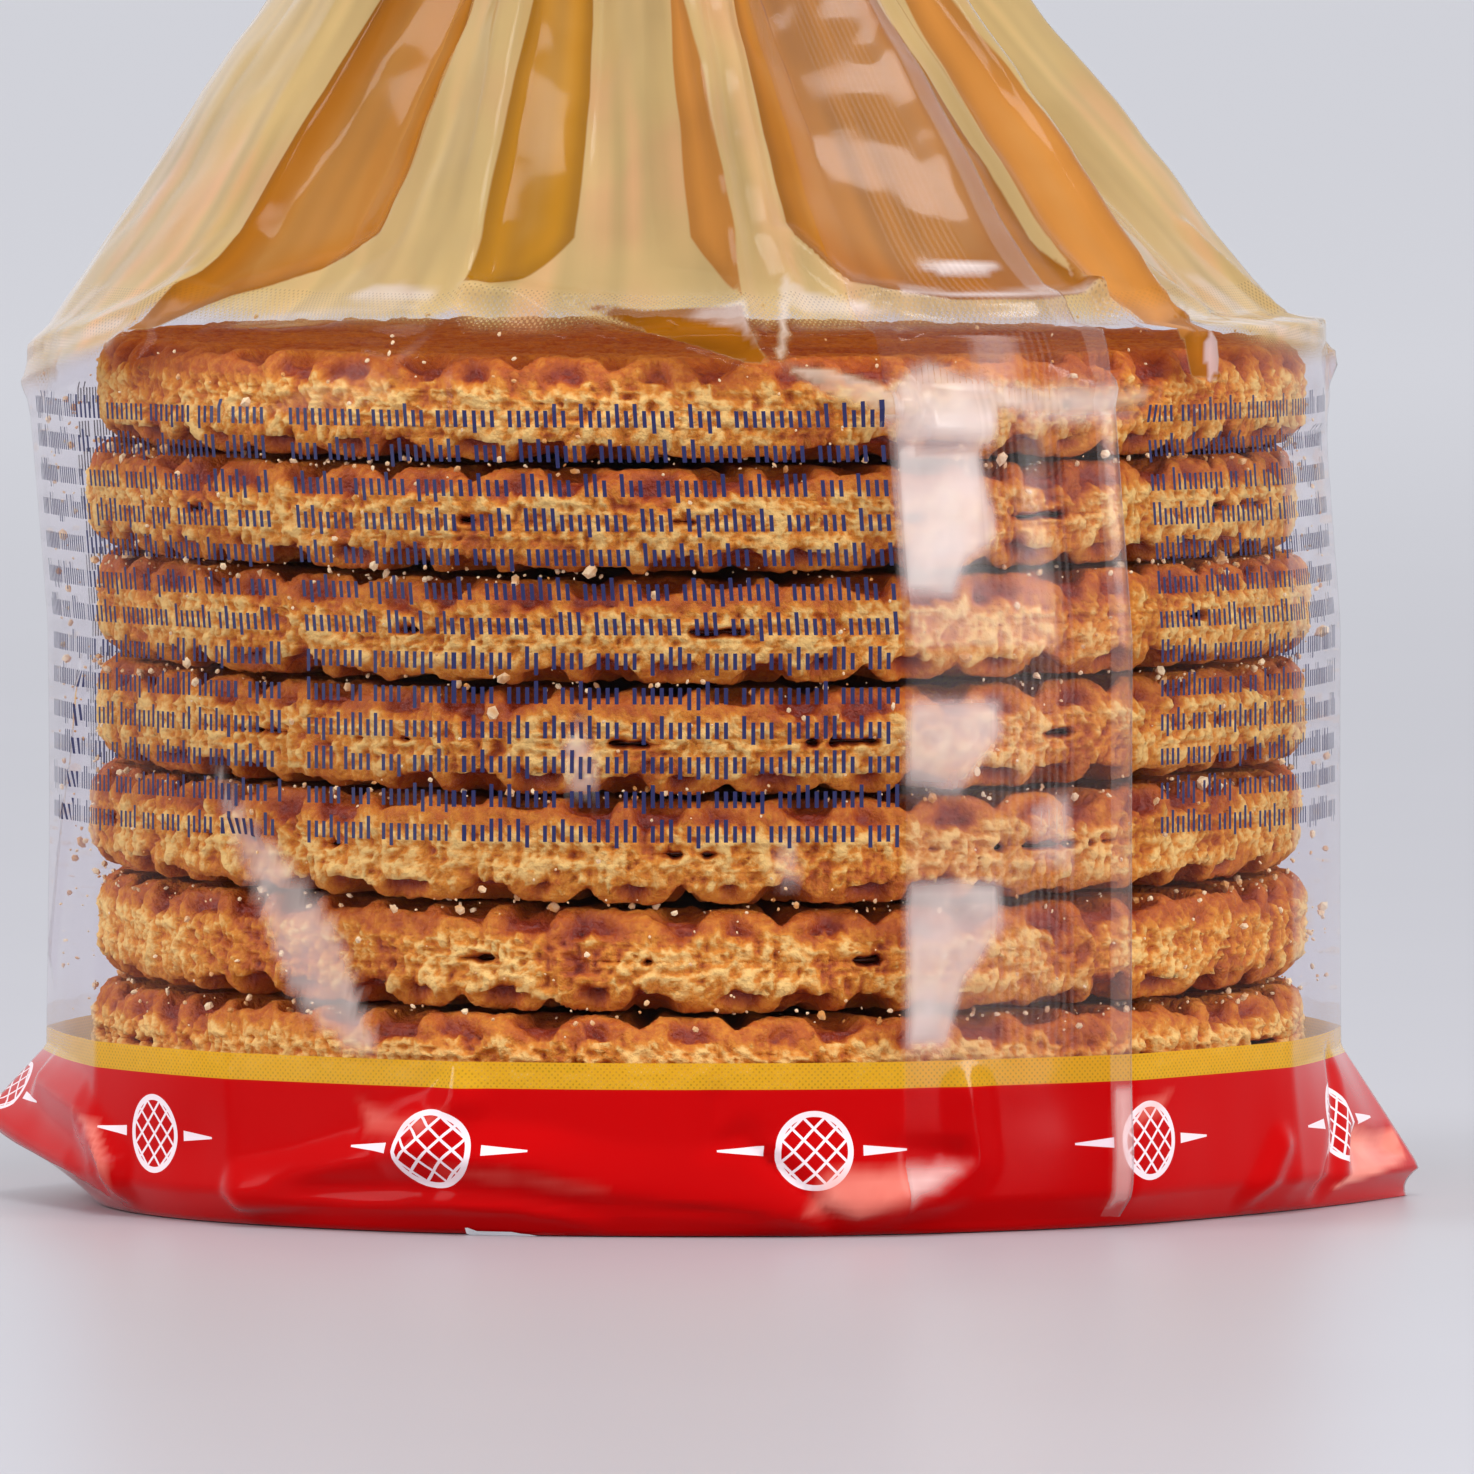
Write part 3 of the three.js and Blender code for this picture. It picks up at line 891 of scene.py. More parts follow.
    def levels(self) -> np.ndarray:
        """The film's profile from the middle of the base, up the outside, and into the ruffle.

        Returns:
            Rows of radius, height, and the shares of wall, ear, foot, pleats, gather and wave.
        """
        radii = np.linspace(0, self.foot_radius, self.base_rows)
        rows = [(radius, 0.0, 0, 0, radius > self.foot_from, 0, 0, 0) for radius in radii]
        wall_top = self.shoulder_height - self.shoulder_round_below
        low = np.linspace(self.hem_height, self.ear_top, self.ear_rows)
        high = np.linspace(self.ear_top, wall_top, self.wall_rows)
        for height in [*low, *high[1:]]:
            ear = max(0.0, (self.ear_top - height) / (self.ear_top - self.hem_height))
            rows.append((self.wall_radius, height, 1, ear, 0, 0, 0, 0))
        for radius, height in self.roof_profile(wall_top):
            above = height - self.shoulder_height
            wall = 1 - ease(above, -self.shoulder_round_below, self.shoulder_round_above)
            gather = ease(above, 0, 3 * self.shoulder_round_above)
            rows.append((radius, height, wall, 0, 0, 1, gather, 0))
        for radius, height in self.ruffle_profile():
            wave = float(ease(np.array(height), self.neck_top, self.ruffle_top))
            rows.append((radius, height, 0, 0, 0, 1, 1, wave))
        return np.array(rows, dtype=float)

    def pleat_depth(self, radius: np.ndarray) -> np.ndarray:
        """How deep the film folds where its ridges lie at a radius."""
        half_film = math.pi * self.wall_radius / len(self.pleats)
        half_chord = math.pi * np.minimum(radius, self.wall_radius) / len(self.pleats)
        free = self.fullness * np.sqrt(np.maximum(half_film**2 - half_chord**2, 0))
        share = ease(radius, self.neck_radius, 2 * self.neck_radius)
        pressed = self.shallowest + (self.deepest - self.shallowest) * share
        return np.minimum(free, pressed * radius)

    def chart(self, levels: np.ndarray) -> np.ndarray:
        """Millimetres up the film for each level, equal to the height on the wall."""
        steps = np.hypot(np.diff(levels[:, 0]), np.diff(levels[:, 1]))
        along = np.concatenate([[0], np.cumsum(steps)])
        on_wall = int(np.argmax(levels[:, 2] > 0))
        return along - along[on_wall] + levels[on_wall, 1]

    def flattened(self, turn: np.ndarray) -> np.ndarray:
        """How much nearer the middle the wall is between two of its creases, as a share from its radius."""
        index, share = self.span(turn, list(self.wall_creases))
        marks = np.array([*self.wall_creases, self.wall_creases[0] + FULL_TURN])
        half = np.radians((marks[index + 1] - marks[index]) / 2)
        return np.cos(half) / np.cos(half * (2 * share - 1)) - 1

    def gathered(self, turn: np.ndarray) -> tuple[np.ndarray, np.ndarray, np.ndarray]:
        """Finds where each bearing of the wall ends up at the neck.

        Returns:
            How far into a pleat's valley each one is, its bearing counted from the first pleat's on, and
            its bearing at the neck.
        """
        feet = [pleat.foot for pleat in self.pleats]
        heads = np.array([*[pleat.head for pleat in self.pleats], self.pleats[0].head + FULL_TURN])
        valleys = np.array([pleat.valley for pleat in self.pleats])
        index, share = self.span(turn, feet)
        zigzag = valleys[index] * (1 - np.abs(2 * share - 1))
        turned = (turn - feet[0]) % FULL_TURN + feet[0]
        return zigzag, turned, heads[index] + (heads[index + 1] - heads[index]) * share

    def base(self, bearings: np.ndarray, up: np.ndarray) -> np.ndarray:
        """The film without its small folds.

        Args:
            bearings: A bearing for each column.
            up: Millimetres up the film for each row.

        Returns:
            Rows of columns of places.
        """
        levels = self.levels()
        along = self.chart(levels)
        row = [np.interp(up, along, levels[:, item])[:, None] for item in range(levels.shape[1])]
        ridge, level, wall, ear_share, foot, pleats, gather, wave = row
        turn = bearings[None, :]
        radius = ridge * (1 + wall * self.crease_flatness * self.flattened(turn))
        zigzag, turned, at_neck = self.gathered(turn)
        radius = radius - pleats * self.pleat_depth(ridge) * zigzag
        at = np.radians(turned + (at_neck - turned) * gather)
        height = level + np.zeros_like(radius)
        for ear in self.ears:
            here = np.clip(1 - np.abs(turn_apart(turn, ear.bearing)) / ear.half_width, 0, 1) ** 2
            radius = radius + (ear.foot_reach - radius) * here * foot
            radius = radius + ear_share * here * (ear.reach - self.wall_radius)
            height = height + ear_share * here * (ear.tip_height - self.hem_height)
        slow, fast = self.ruffle_swings
        swing = np.sin(np.radians(slow * turn)) + np.cos(np.radians(fast * turn))
        height = height + wave * self.ruffle_wave * swing
        lean = np.clip((level - self.lean_from) / (self.neck_height - self.lean_from), 0, 1)
        across = lean * self.neck_offset[0] + radius * np.sin(at)
        deep = lean * self.neck_offset[1] - radius * np.cos(at)
        return np.stack([across, deep, height], axis=-1)

    def up_film(self, height: float) -> float:
        """Millimetres up the film at a height on the wall or the roof."""
        levels = self.levels()
        rising = slice(self.base_rows, int(np.argmax(levels[:, 1])) + 1)
        return float(np.interp(height, levels[rising, 1], self.chart(levels)[rising]))


def bezier(start: object, bend: object, end: object, steps: int) -> np.ndarray:
    """Points from start to end along a quadratic curve, one more than its steps."""
    share = np.linspace(0, 1, steps + 1)[:, None]
    first, middle, last = (np.asarray(point, dtype=float) for point in (start, bend, end))
    return (1 - share) ** 2 * first + 2 * share * (1 - share) * middle + share**2 * last


def rings(angles: np.ndarray, radii: np.ndarray, heights: np.ndarray) -> np.ndarray:
    """Places on rings about the Z axis."""
    return np.stack([radii * np.cos(angles), radii * np.sin(angles), heights], axis=-1)


def normals_of(points: np.ndarray) -> np.ndarray:
    """Outward directions of a rolled sheet of points."""
    across = np.gradient(points, axis=1)
    across[:, 0] = across[:, -1] = points[:, 1] - points[:, -2]
    up = np.gradient(points, axis=0)
    out = np.cross(across, up)
    return out / np.maximum(np.linalg.norm(out, axis=-1, keepdims=True), SMALLEST)


BAND_CREASES = (
    Crease(((-44.4, 1.4), (-38.8, 1.6), (-22.6, 2.1), (-16, 2.0), (-11.8, 1.2), (-8, 0.2)),
           0.45, 1.0, 0.08),
    Crease(((-43.4, 2.5), (-37.2, 3.4), (-31.2, 4.7), (-25.2, 5.7), (-20.6, 9.2)), 0.9, 2.2, 0.06),
    Crease(((-25.2, 5.7), (-13.8, 5.0), (-6.8, 3.7), (-1.2, 3.5), (6.8, 2.3), (11.8, 0.4)), 1.1, 2.6),
    Crease(((1.8, 9.6), (1.2, 6.4), (4.4, 6.9), (12, 1.6), (13, 0.3)), -0.7, 1.5),
    Crease(((24.6, 9.5), (25.4, 4.8), (21.6, 2.7), (14.8, 0.4)), 0.6, 1.9),
    Crease(((59.6, 0.9), (63.4, 4.8)), 0.6, 1.6),
    Crease(((79.4, 9.4), (76, 5.6), (71.6, 1.4)), -0.6, 1.6),
    Crease(((-81.8, 7.9), (-69.4, 6.9), (-62, 3.5), (-62.6, 1.5)), 0.7, 2.0, 0.05),
    Crease(((-90, 3.4), (-84.4, 3.1), (-71.6, 2.4), (-64.8, 0.6)), 0.4, 1.2),
)
FACETS = (
    Facet(((12, 1.6), (4.4, 6.9), (13.6, 7.4), (24.6, 6.6), (25, 4.8), (21.6, 2.7), (14.6, 0.8)),
          -0.12, -0.16, 0.2),
    Facet(((-25, 5.4), (-13.8, 4.7), (-6.8, 3.4), (6.8, 2.0), (6, 0.9), (-10, 1.2), (-24, 2.4)),
          0.0, 0.3, -0.6),
    Facet(((-31.6, 9.6), (-30, 5.6), (-22.4, 7.6), (-24, 9.6)), 0.1, -0.16, 0.2),
    Facet(((79.5, 5.6), (88.5, 5.0), (89, 3.2), (80, 1.6), (73.2, 1.0)), 0.0, -0.4, -0.5),
    Facet(((-70, 6.6), (-64.5, 6.4), (-61.5, 3.5), (-62.5, 1.8)), 0.25, -0.1, 0.2),
    Facet(((-46, 27.5), (-36, 26), (-26, 12.6), (-36, 12.6)), 0.03, -0.14, 0.1),
    Facet(((-13, 35), (-9, 34.5), (-6, 29), (-9, 28.5)), 0.15, -0.15, 0.2),
    Facet(((5, 27), (10, 28), (10, 23), (6.5, 23)), -0.15, -0.15, 0.2),
    Facet(((22, 60.5), (30.4, 60), (29.4, 53.4), (20.8, 53.4)), -0.04, -0.16, 0.3),
)
WALL_CREASES = (
    Crease(((-20.2, 61.7), (-19.2, 56.5), (-20, 49.7), (-21, 36.3), (-20.8, 10.6)), 0.35, 0.9),
    Crease(((-71.2, 36), (-73.2, 31), (-80.4, 22.3), (-85, 17)), 0.5, 1.2, 0.1),
)
ROOF_CREASES = (
    Crease(((-96, 56.6), (-90, 56.6), (-63.6, 59.0), (-58.8, 60.3)), 0.6, 1.4, 0.06),
    Crease(((-89.8, 59.0), (-68.8, 60.8), (-62.6, 62.6), (-59.2, 64.4)), 0.7, 1.8, 0.35),
    Crease(((-59.2, 60.0), (-59.2, 64.6), (-57.6, 69.1), (-55, 92)), 0.8, 2.2, 0.08),
    Crease(((-55, 61.8), (-51.4, 63.9), (-43.4, 66.3), (-36.2, 69.2), (-31, 92)), 0.5, 1.8),
    Crease(((-42.6, 61.1), (-31, 61.8), (-21, 62.2)), 0.4, 0.9, 0.13),
    Crease(((-46.2, 60.8), (-32.8, 60.4), (-27.2, 59.7), (-23.4, 58.6)), 0.5, 1.1, 0.2),
    Crease(((-23.4, 58.4), (-21.6, 60.6), (-20.8, 62.9), (-21, 65), (-21.6, 69.3), (-21.6, 92)),
           0.9, 1.5, 0.14),
    Crease(((-20.2, 64.5), (-15.6, 65.1), (-11.4, 64.3), (-2.8, 63.1), (2.8, 63.3), (6, 63.6)),
           0.5, 1.2, 0.08),
    Crease(((-19.2, 64.2), (-15.4, 64.0), (-8.6, 61.9), (-1.2, 60.3), (7.4, 58.5)), 0.8, 1.4, 0.42),
    Crease(((-11, 64.0), (-1, 61.6), (7.6, 58.7)), -0.5, 0.8),
    Crease(((8, 58.5), (7, 64.1), (7.2, 69.4), (7.2, 92)), 0.6, 1.2, 0.1),
    Crease(((9, 58.5), (13, 65.9), (11.8, 69.4), (12.5, 92)), 0.6, 1.2, 0.1),
    Crease(((8.6, 58.5), (13.8, 57.7), (20.2, 55.7)), 0.8, 1.8, 0.12),
    Crease(((22.4, 62.6), (21, 59.3), (20.4, 55.6)), 0.4, 0.9, 0.07),
    Crease(((14.4, 69.3), (17, 67.2), (19.6, 65), (29.4, 63.5), (43.6, 63.8), (46, 64.5)), 0.7, 1.3, 0.13),
    Crease(((46, 64.5), (45, 69.1), (44, 92)), 0.6, 1.2, 0.1),
    Crease(((46, 64.5), (47.8, 61.2), (47.4, 58), (46.2, 56.4), (43.8, 56.5), (35.2, 58.2)),
           0.8, 1.2, 0.12),
    Crease(((52.2, 92), (52.2, 69.1), (52.6, 64.6), (53.2, 62.2), (52.6, 58), (56.4, 57)), 0.9, 1.5, 0.1),
    Crease(((52.6, 61.7), (63.8, 59.5), (80.6, 58.4), (90, 58.2)), 0.5, 1.4, 0.1),
    Crease(((54, 67), (66, 62.2), (80, 59.2)), 0.4, 1.2, 0.1),
    Crease(((87, 57.5), (84, 61), (79, 69)), 0.6, 1.4, 0.08),
)
FIELDS = (
    Field(Ink.CREAM, ((-110, 56.5), (-90, 56.5), (-63.6, 59.0), (-59, 60.3), (-59.2, 64.4), (-57, 124),
                      (-110, 124))),
    Field(Ink.CREAM, ((52.6, 61.7), (63.8, 59.5), (80.6, 58.4), (112, 58.2), (112, 124), (52.2, 124))),
    Field(Ink.AMBER, ((-59, 60.3), (-59.2, 64.4), (-58.2, 69.1), (-56, 124), (-32, 124), (-36.2, 69.2),
                      (-43.4, 66.3),
                      (-51.4, 63.9), (-55, 61.8))),
    Field(Ink.AMBER, ((-11.4, 64.2), (-2.8, 63.1), (6.6, 63.4), (8, 58.5), (-1, 61.4))),
    Field(Ink.AMBER, ((14.4, 69.3), (17, 67.2), (19.6, 65), (29.4, 63.5), (43.6, 63.8), (46, 64.5),
                      (43.6, 69.1),
                      (42, 124), (13, 124))),
    Field(Ink.AMBER, ((53.2, 62.2), (53.8, 58.9), (56.4, 57), (51.4, 57.6), (50.2, 61.3))),
    Field(Ink.GOLD, ((-21, 64.9), (-21.4, 124), (-6, 124), (-10.8, 69.3), (-14.2, 66.7), (-15.8, 65.5))),
    Field(Ink.PEACH, ((2.4, 69.4), (1, 124), (7, 124), (7.2, 69.4), (6.8, 64.2))),
    Field(Ink.PEACH, ((45, 69.1), (44, 124), (52, 124), (52.2, 69.1), (52.6, 64.6), (53.2, 62.2),
                      (50, 60.5), (48.6, 63),
                      (46, 64.5))),
    # A painted highlight: the white oval of reflected light on the roof.
    Field(Ink.WHITE, ((54, 60.6), (55, 60.2), (55.5, 58.9), (55.2, 57.7), (54.4, 57.0), (53.6, 57.1),
                      (52.9, 58.2),
                      (52.8, 59.5), (53.2, 60.3))),
    Field(Ink.AMBER, ((117, 62), (122, 124), (144, 124), (140, 66))),
    Field(Ink.GOLD, ((168, 63), (166, 124), (184, 124), (181, 65))),
    Field(Ink.PEACH, ((205, 62), (207, 124), (219, 124), (213, 66))),
    Field(Ink.AMBER, ((228, 63), (226, 124), (240, 124), (244, 66))),
)

# Painted highlights: milky patches that stand for reflections on the wall, the seam and the roof, and salmon
# ones on the red band.
PAINTED_HIGHLIGHTS = (
    PaintedHighlight(0.62, 1.6, ((9, 1.4), (11, 4.6), (17, 5.2), (25, 5.0), (21.6, 2.8), (14.8, 0.7))),
    PaintedHighlight(0.78, 0.4, ((80, 5.5), (89.6, 5.0), (88.8, 2.9), (79, 1.6), (73.2, 0.9), (77.4, 3.2))),
    PaintedHighlight(0.3, 0.3, ((39.3, 9.6), (41.3, 9.6), (41.0, 2.0), (39.2, 1.2))),
    PaintedHighlight(0.34, 0.9, ((41.4, 8.8), (48.0, 9.6), (45.4, 7.4), (41.4, 6.6))),
    PaintedHighlight(0.5, 0.6, ((-70, 6.8), (-64.5, 6.4), (-61.3, 3.5), (-62.3, 1.6), (-65, 4.6))),
    PaintedHighlight(0.3, 1.2, ((-31.6, 9.8), (-30.4, 6.2), (-23, 6.6), (-20.6, 9.0), (-26, 8.4))),
    PaintedHighlight(0.2, 1.4, ((-25, 5.4), (-13.8, 4.7), (-6.8, 3.4), (-8, 2.6), (-22, 3.8))),
    PaintedHighlight(0.42, 0.8, ((-47.4, 33), (-45, 26.5), (-38, 16), (-31, 11.9), (-27.2, 11.9), (-33, 21),
                     (-42, 27.6))),
    PaintedHighlight(0.5, 1.3, ((18.2, 57.6), (22.6, 59.6), (29.4, 57.6), (36, 57.8), (45.8, 57.2), (45.4, 55.4),
                    (36, 54.6),
                    (29.4, 55.4), (28.4, 52.8), (18.2, 53.4))),
    PaintedHighlight(0.4, 1.0, ((18.2, 54), (27.4, 53.6), (28.6, 47), (25.4, 45.6), (23.6, 42.8), (18.2, 43.4))),
    PaintedHighlight(0.38, 1.0, ((18.2, 36.6), (28.0, 36.4), (28.6, 33.6), (23.6, 29.6), (18.2, 30.4))),
    PaintedHighlight(0.4, 1.0, ((18.2, 24.4), (28.2, 24.2), (28.6, 20.8), (24.6, 17.4), (22.6, 12.6), (18.2, 12.6))),
    PaintedHighlight(0.24, 0.9, ((30.5, 29), (35, 30), (35.6, 24), (31, 25))),
    PaintedHighlight(0.32, 0.7, ((-12.2, 33.8), (-9.8, 35), (-8, 31.4), (-8.6, 29.2), (-11, 30.4))),
    PaintedHighlight(0.3, 0.6, ((6.4, 26.6), (8.8, 27.2), (9.6, 23.9), (7.4, 23.6))),
    PaintedHighlight(0.66, 0.7, ((-36.6, 64.3), (-33, 65.3), (-29, 65.5), (-23.6, 65), (-23.8, 63.9), (-28, 63.6),
                     (-34, 63.6))),
    PaintedHighlight(0.4, 0.7, ((-48.4, 62.2), (-40, 63.2), (-25, 64), (-24.5, 63.1), (-38, 62.3), (-48, 61.4))),
    PaintedHighlight(0.5, 0.5, ((11.6, 65.6), (13.4, 65.4), (17, 64.6), (23.6, 62.8), (18, 62.8), (14, 63),
                    (11, 63.4))),
    PaintedHighlight(0.55, 0.2, ((11.8, 66), (12.7, 65.8), (11.1, 62.4), (9.5, 58.7), (8.5, 58.7), (10.2, 62.6))),
    PaintedHighlight(0.62, 0.5, ((8.6, 58.8), (14, 58.6), (18.4, 57.6), (20.6, 55.2), (18.2, 55.2), (12.5, 56.8))),
    PaintedHighlight(0.5, 0.3, ((0.4, 62.8), (3, 63.2), (7, 63.9), (7.6, 60), (6.2, 61.8), (3, 62.4))),
    PaintedHighlight(0.55, 0.4, ((28.6, 66.8), (34, 67.3), (38.8, 66.9), (36, 66.1), (31, 66.0))),
    PaintedHighlight(0.5, 0.2, ((24.8, 64.6), (35.4, 64.5), (45.4, 64.7), (45.2, 64.1), (35, 63.9), (24.8, 64.0))),
    PaintedHighlight(0.5, 0.6, ((-80, 59.7), (-69.6, 60.6), (-62, 62.2), (-61.8, 61), (-70, 59.1), (-79, 58.8))),
    PaintedHighlight(0.36, 0.9, ((-82, 60.6), (-78.6, 65), (-74.6, 65), (-78.6, 60.2))),
    PaintedHighlight(0.45, 0.4, ((57, 63.4), (69.4, 61.1), (86.4, 59.2), (86, 58.4), (69, 59.9), (57, 62.3))),
    PaintedHighlight(0.34, 0.9, ((69.6, 66), (73.4, 66), (78, 60.9), (73.5, 60.7))),
)


@dataclass(frozen=True)
class RoofPrint:
    """The fields of ink on the roof, and how their tones drift over it."""

    fields: tuple[Field, ...] = FIELDS
    pink: tuple = byte_colour(220, 174, 124)
    cloud: Ripple = Ripple(10.0, layers=3)
    blotch: Ripple = Ripple(6.0, shift=40.0, layers=3)
    fine_streak: Ripple = Ripple(1.5)
    wide_streak: Ripple = Ripple(4.0, 0.6)
    streak_squash: float = 0.1
    streak_shade: float = 0.13
    blotch_shade: float = 0.12
    pink_streaks: float = 0.3
    pink_ends: Point = (-0.1, 0.7)
    cream_from: float = 62.1
    cream_wander: float = 0.4
    narrowing: float = 3.2
    narrow_ends: Point = (70.0, 116.0)
    edge_wander: float = 0.3
    light_share: float = 0.25
    light_wander: float = 2.0
    light_ends: Point = (1.0, 5.0)
    light_most: float = 0.8
    edge_tone: float = 0.72
    edge_gain: float = 0.28
    edge_ends: Point = (0.0, 1.6)
    cover: float = 0.8
    cover_ends: Point = (-1.0, 1.4)
    cover_streaks: float = 0.05
    streak_ends: Point = (0.0, 2.0)
    most_cover: float = 0.9
    outside: float = -9.0

    def toned(self, ink: Ink, inside: np.ndarray, blotch: np.ndarray) -> np.ndarray:
        """The colours of one field: lighter where it is deep inside, and darker along its edge."""
        tone, khaki = np.array(ink.colour), np.array(Ink.CREAM.colour)
        light = (1 - self.light_share) * tone + self.light_share * khaki
        lit = ease(inside + self.light_wander * blotch, *self.light_ends) * self.light_most
        mixed = tone + (light - tone) * lit[..., None]
        return mixed * (self.edge_tone + self.edge_gain * ease(inside, *self.edge_ends))[..., None]

    def print_on(self, film: Film, skin: bpy.types.Object, chart: np.ndarray, points: np.ndarray) -> None:
        """Stores the colours and the cover of the inks with the painted highlights mixed in, how far inside a
        field each point lies, the painted highlight patches, and the painted highlight lines along the
        creases.
        """
        height = chart[..., 1]
        cloud = self.cloud.at(Grain(Seed.CLOUD), points)
        blotch = self.blotch.at(Grain(Seed.BLOTCH), points)
        thread = np.stack([chart[..., 0], self.streak_squash * height, 0 * height], axis=-1)
        fine = self.fine_streak.at(Grain(Seed.FINE_STREAK), thread)
        streak = fine + self.wide_streak.at(Grain(Seed.WIDE_STREAK), thread)
        shade = (1 + self.streak_shade * streak + self.blotch_shade * blotch)[..., None]
        khaki, pink = np.array(Ink.CREAM.colour), np.array(self.pink)
        share = ease(cloud + self.pink_streaks * streak, *self.pink_ends)
        ground_and_highlight = khaki + (pink - khaki) * share[..., None]
        edge = np.full(height.shape, self.outside)
        ink = np.zeros((*height.shape, 4))
        depth = height - self.cream_from + self.cream_wander * cloud
        for part in self.fields:
            inside = film.inside_share(chart, part.corners)
            if part.ink is Ink.CREAM:
                depth = np.maximum(depth, inside)
                continue
            inside = inside - self.narrowing * ease(height, *self.narrow_ends) + self.edge_wander * blotch
            toned = self.toned(part.ink, inside, blotch)
            ink = np.where((inside > edge)[..., None], toned, ink)
            edge = np.maximum(edge, inside)
        # Painted highlight: the print turns towards the bright colour in the highlight patches, in the ink
        # attribute too.
        glow = film.highlight_strength(chart, points)[..., None]
        bright = np.array(film.finish.bright)
        paint(skin, "ground_and_highlight", ground_and_highlight * shade * (1 - glow) + bright * glow)
        paint(skin, "ink", ink * shade * (1 - glow) + bright * glow)
        paint(skin, "ink_edge", np.clip(edge, self.outside, -self.outside))
        streaks = self.cover_streaks * streak * ease(depth, *self.streak_ends)
        cover = self.cover * ease(depth, *self.cover_ends) + streaks
        paint(skin, "cover", np.clip(cover, 0, self.most_cover))
        paint(skin, "veil_and_highlight", glow[..., 0])
        # Painted highlight lines along the bright creases.
        nearest = np.full(height.shape, self.outside)
        for crease in film.creases:
            if crease.bright:
                nearest = np.maximum(nearest, crease.bright - film.distance(points, crease))
        paint(skin, "fold", nearest)


@dataclass(frozen=True)
class Ticks:
    """Rows of plain upright ticks, in groups as long as words, for the small print on the wall."""

    span: Point = (-73, 209.4)
    pitch: float = 0.62
    width: float = 0.28
    half: float = 0.56
    top: float = 1.0
    tail: float = 0.95
    rows: int = 13
    first_row: float = 27.3
    row_pitch: float = 2.33
    columns: tuple[Point, ...] = (
        (-66, -30.3), (-28.5, 14.3), (35.4, 66), (84, 122), (124, 165.5), (167.5, 198),
    )
    shortest_word: int = 2
    longest_word: int = 12
    tall_from: float = 0.78
    tailed_below: float = 0.08
    overprint: float = 0.08

    def word(self, random: np.random.Generator, row: int, ticks: np.ndarray, edges: int) -> list[tuple]:
        """The faces of one group of ticks, some with a rise and a few with a tail.

        Args:
            random: The source of chance.
            row: The row's number.
            ticks: The numbers of its ticks.
            edges: How many points one line of the sheet has.

        Returns:
            The four points of each face by number.
        """
        faces = []
        for tick in ticks:
            reach = random.random()
            parts = [1] + [2] * (reach > self.tall_from) + [0] * (reach < self.tailed_below)
            for part in parts:
                low = (4 * row + part) * edges + 2 * tick
                faces.append((low, low + 1, low + 1 + edges, low + edges))
        return faces

    def build(self, film: Film) -> bpy.types.Object:
        """Lays the ticks on the film and dresses them."""
        random = np.random.default_rng(Seed.TICKS)
        starts = np.arange(*self.span, self.pitch)
        edges = np.stack([starts, starts + self.width], axis=-1).ravel() / film.reach
        middles = self.first_row + self.row_pitch * np.arange(self.rows)
        heights = np.array([-self.tail, -self.half, self.half, self.top])
        up = (middles[:, None] + heights).ravel()
        points = film.skin(edges, up, self.overprint)
        faces = []
        for row in range(self.rows):
            for left, right in self.columns:
                inside = np.flatnonzero((starts >= left) & (starts < right))
                place = 0
                while place < len(inside):
                    length = int(random.integers(self.shortest_word, self.longest_word + 1))
                    faces += self.word(random, row, inside[place:place + length], len(edges))
                    place += length + 1
        return loose_faces("printed_ticks", points, faces, film.finish.tick_material())


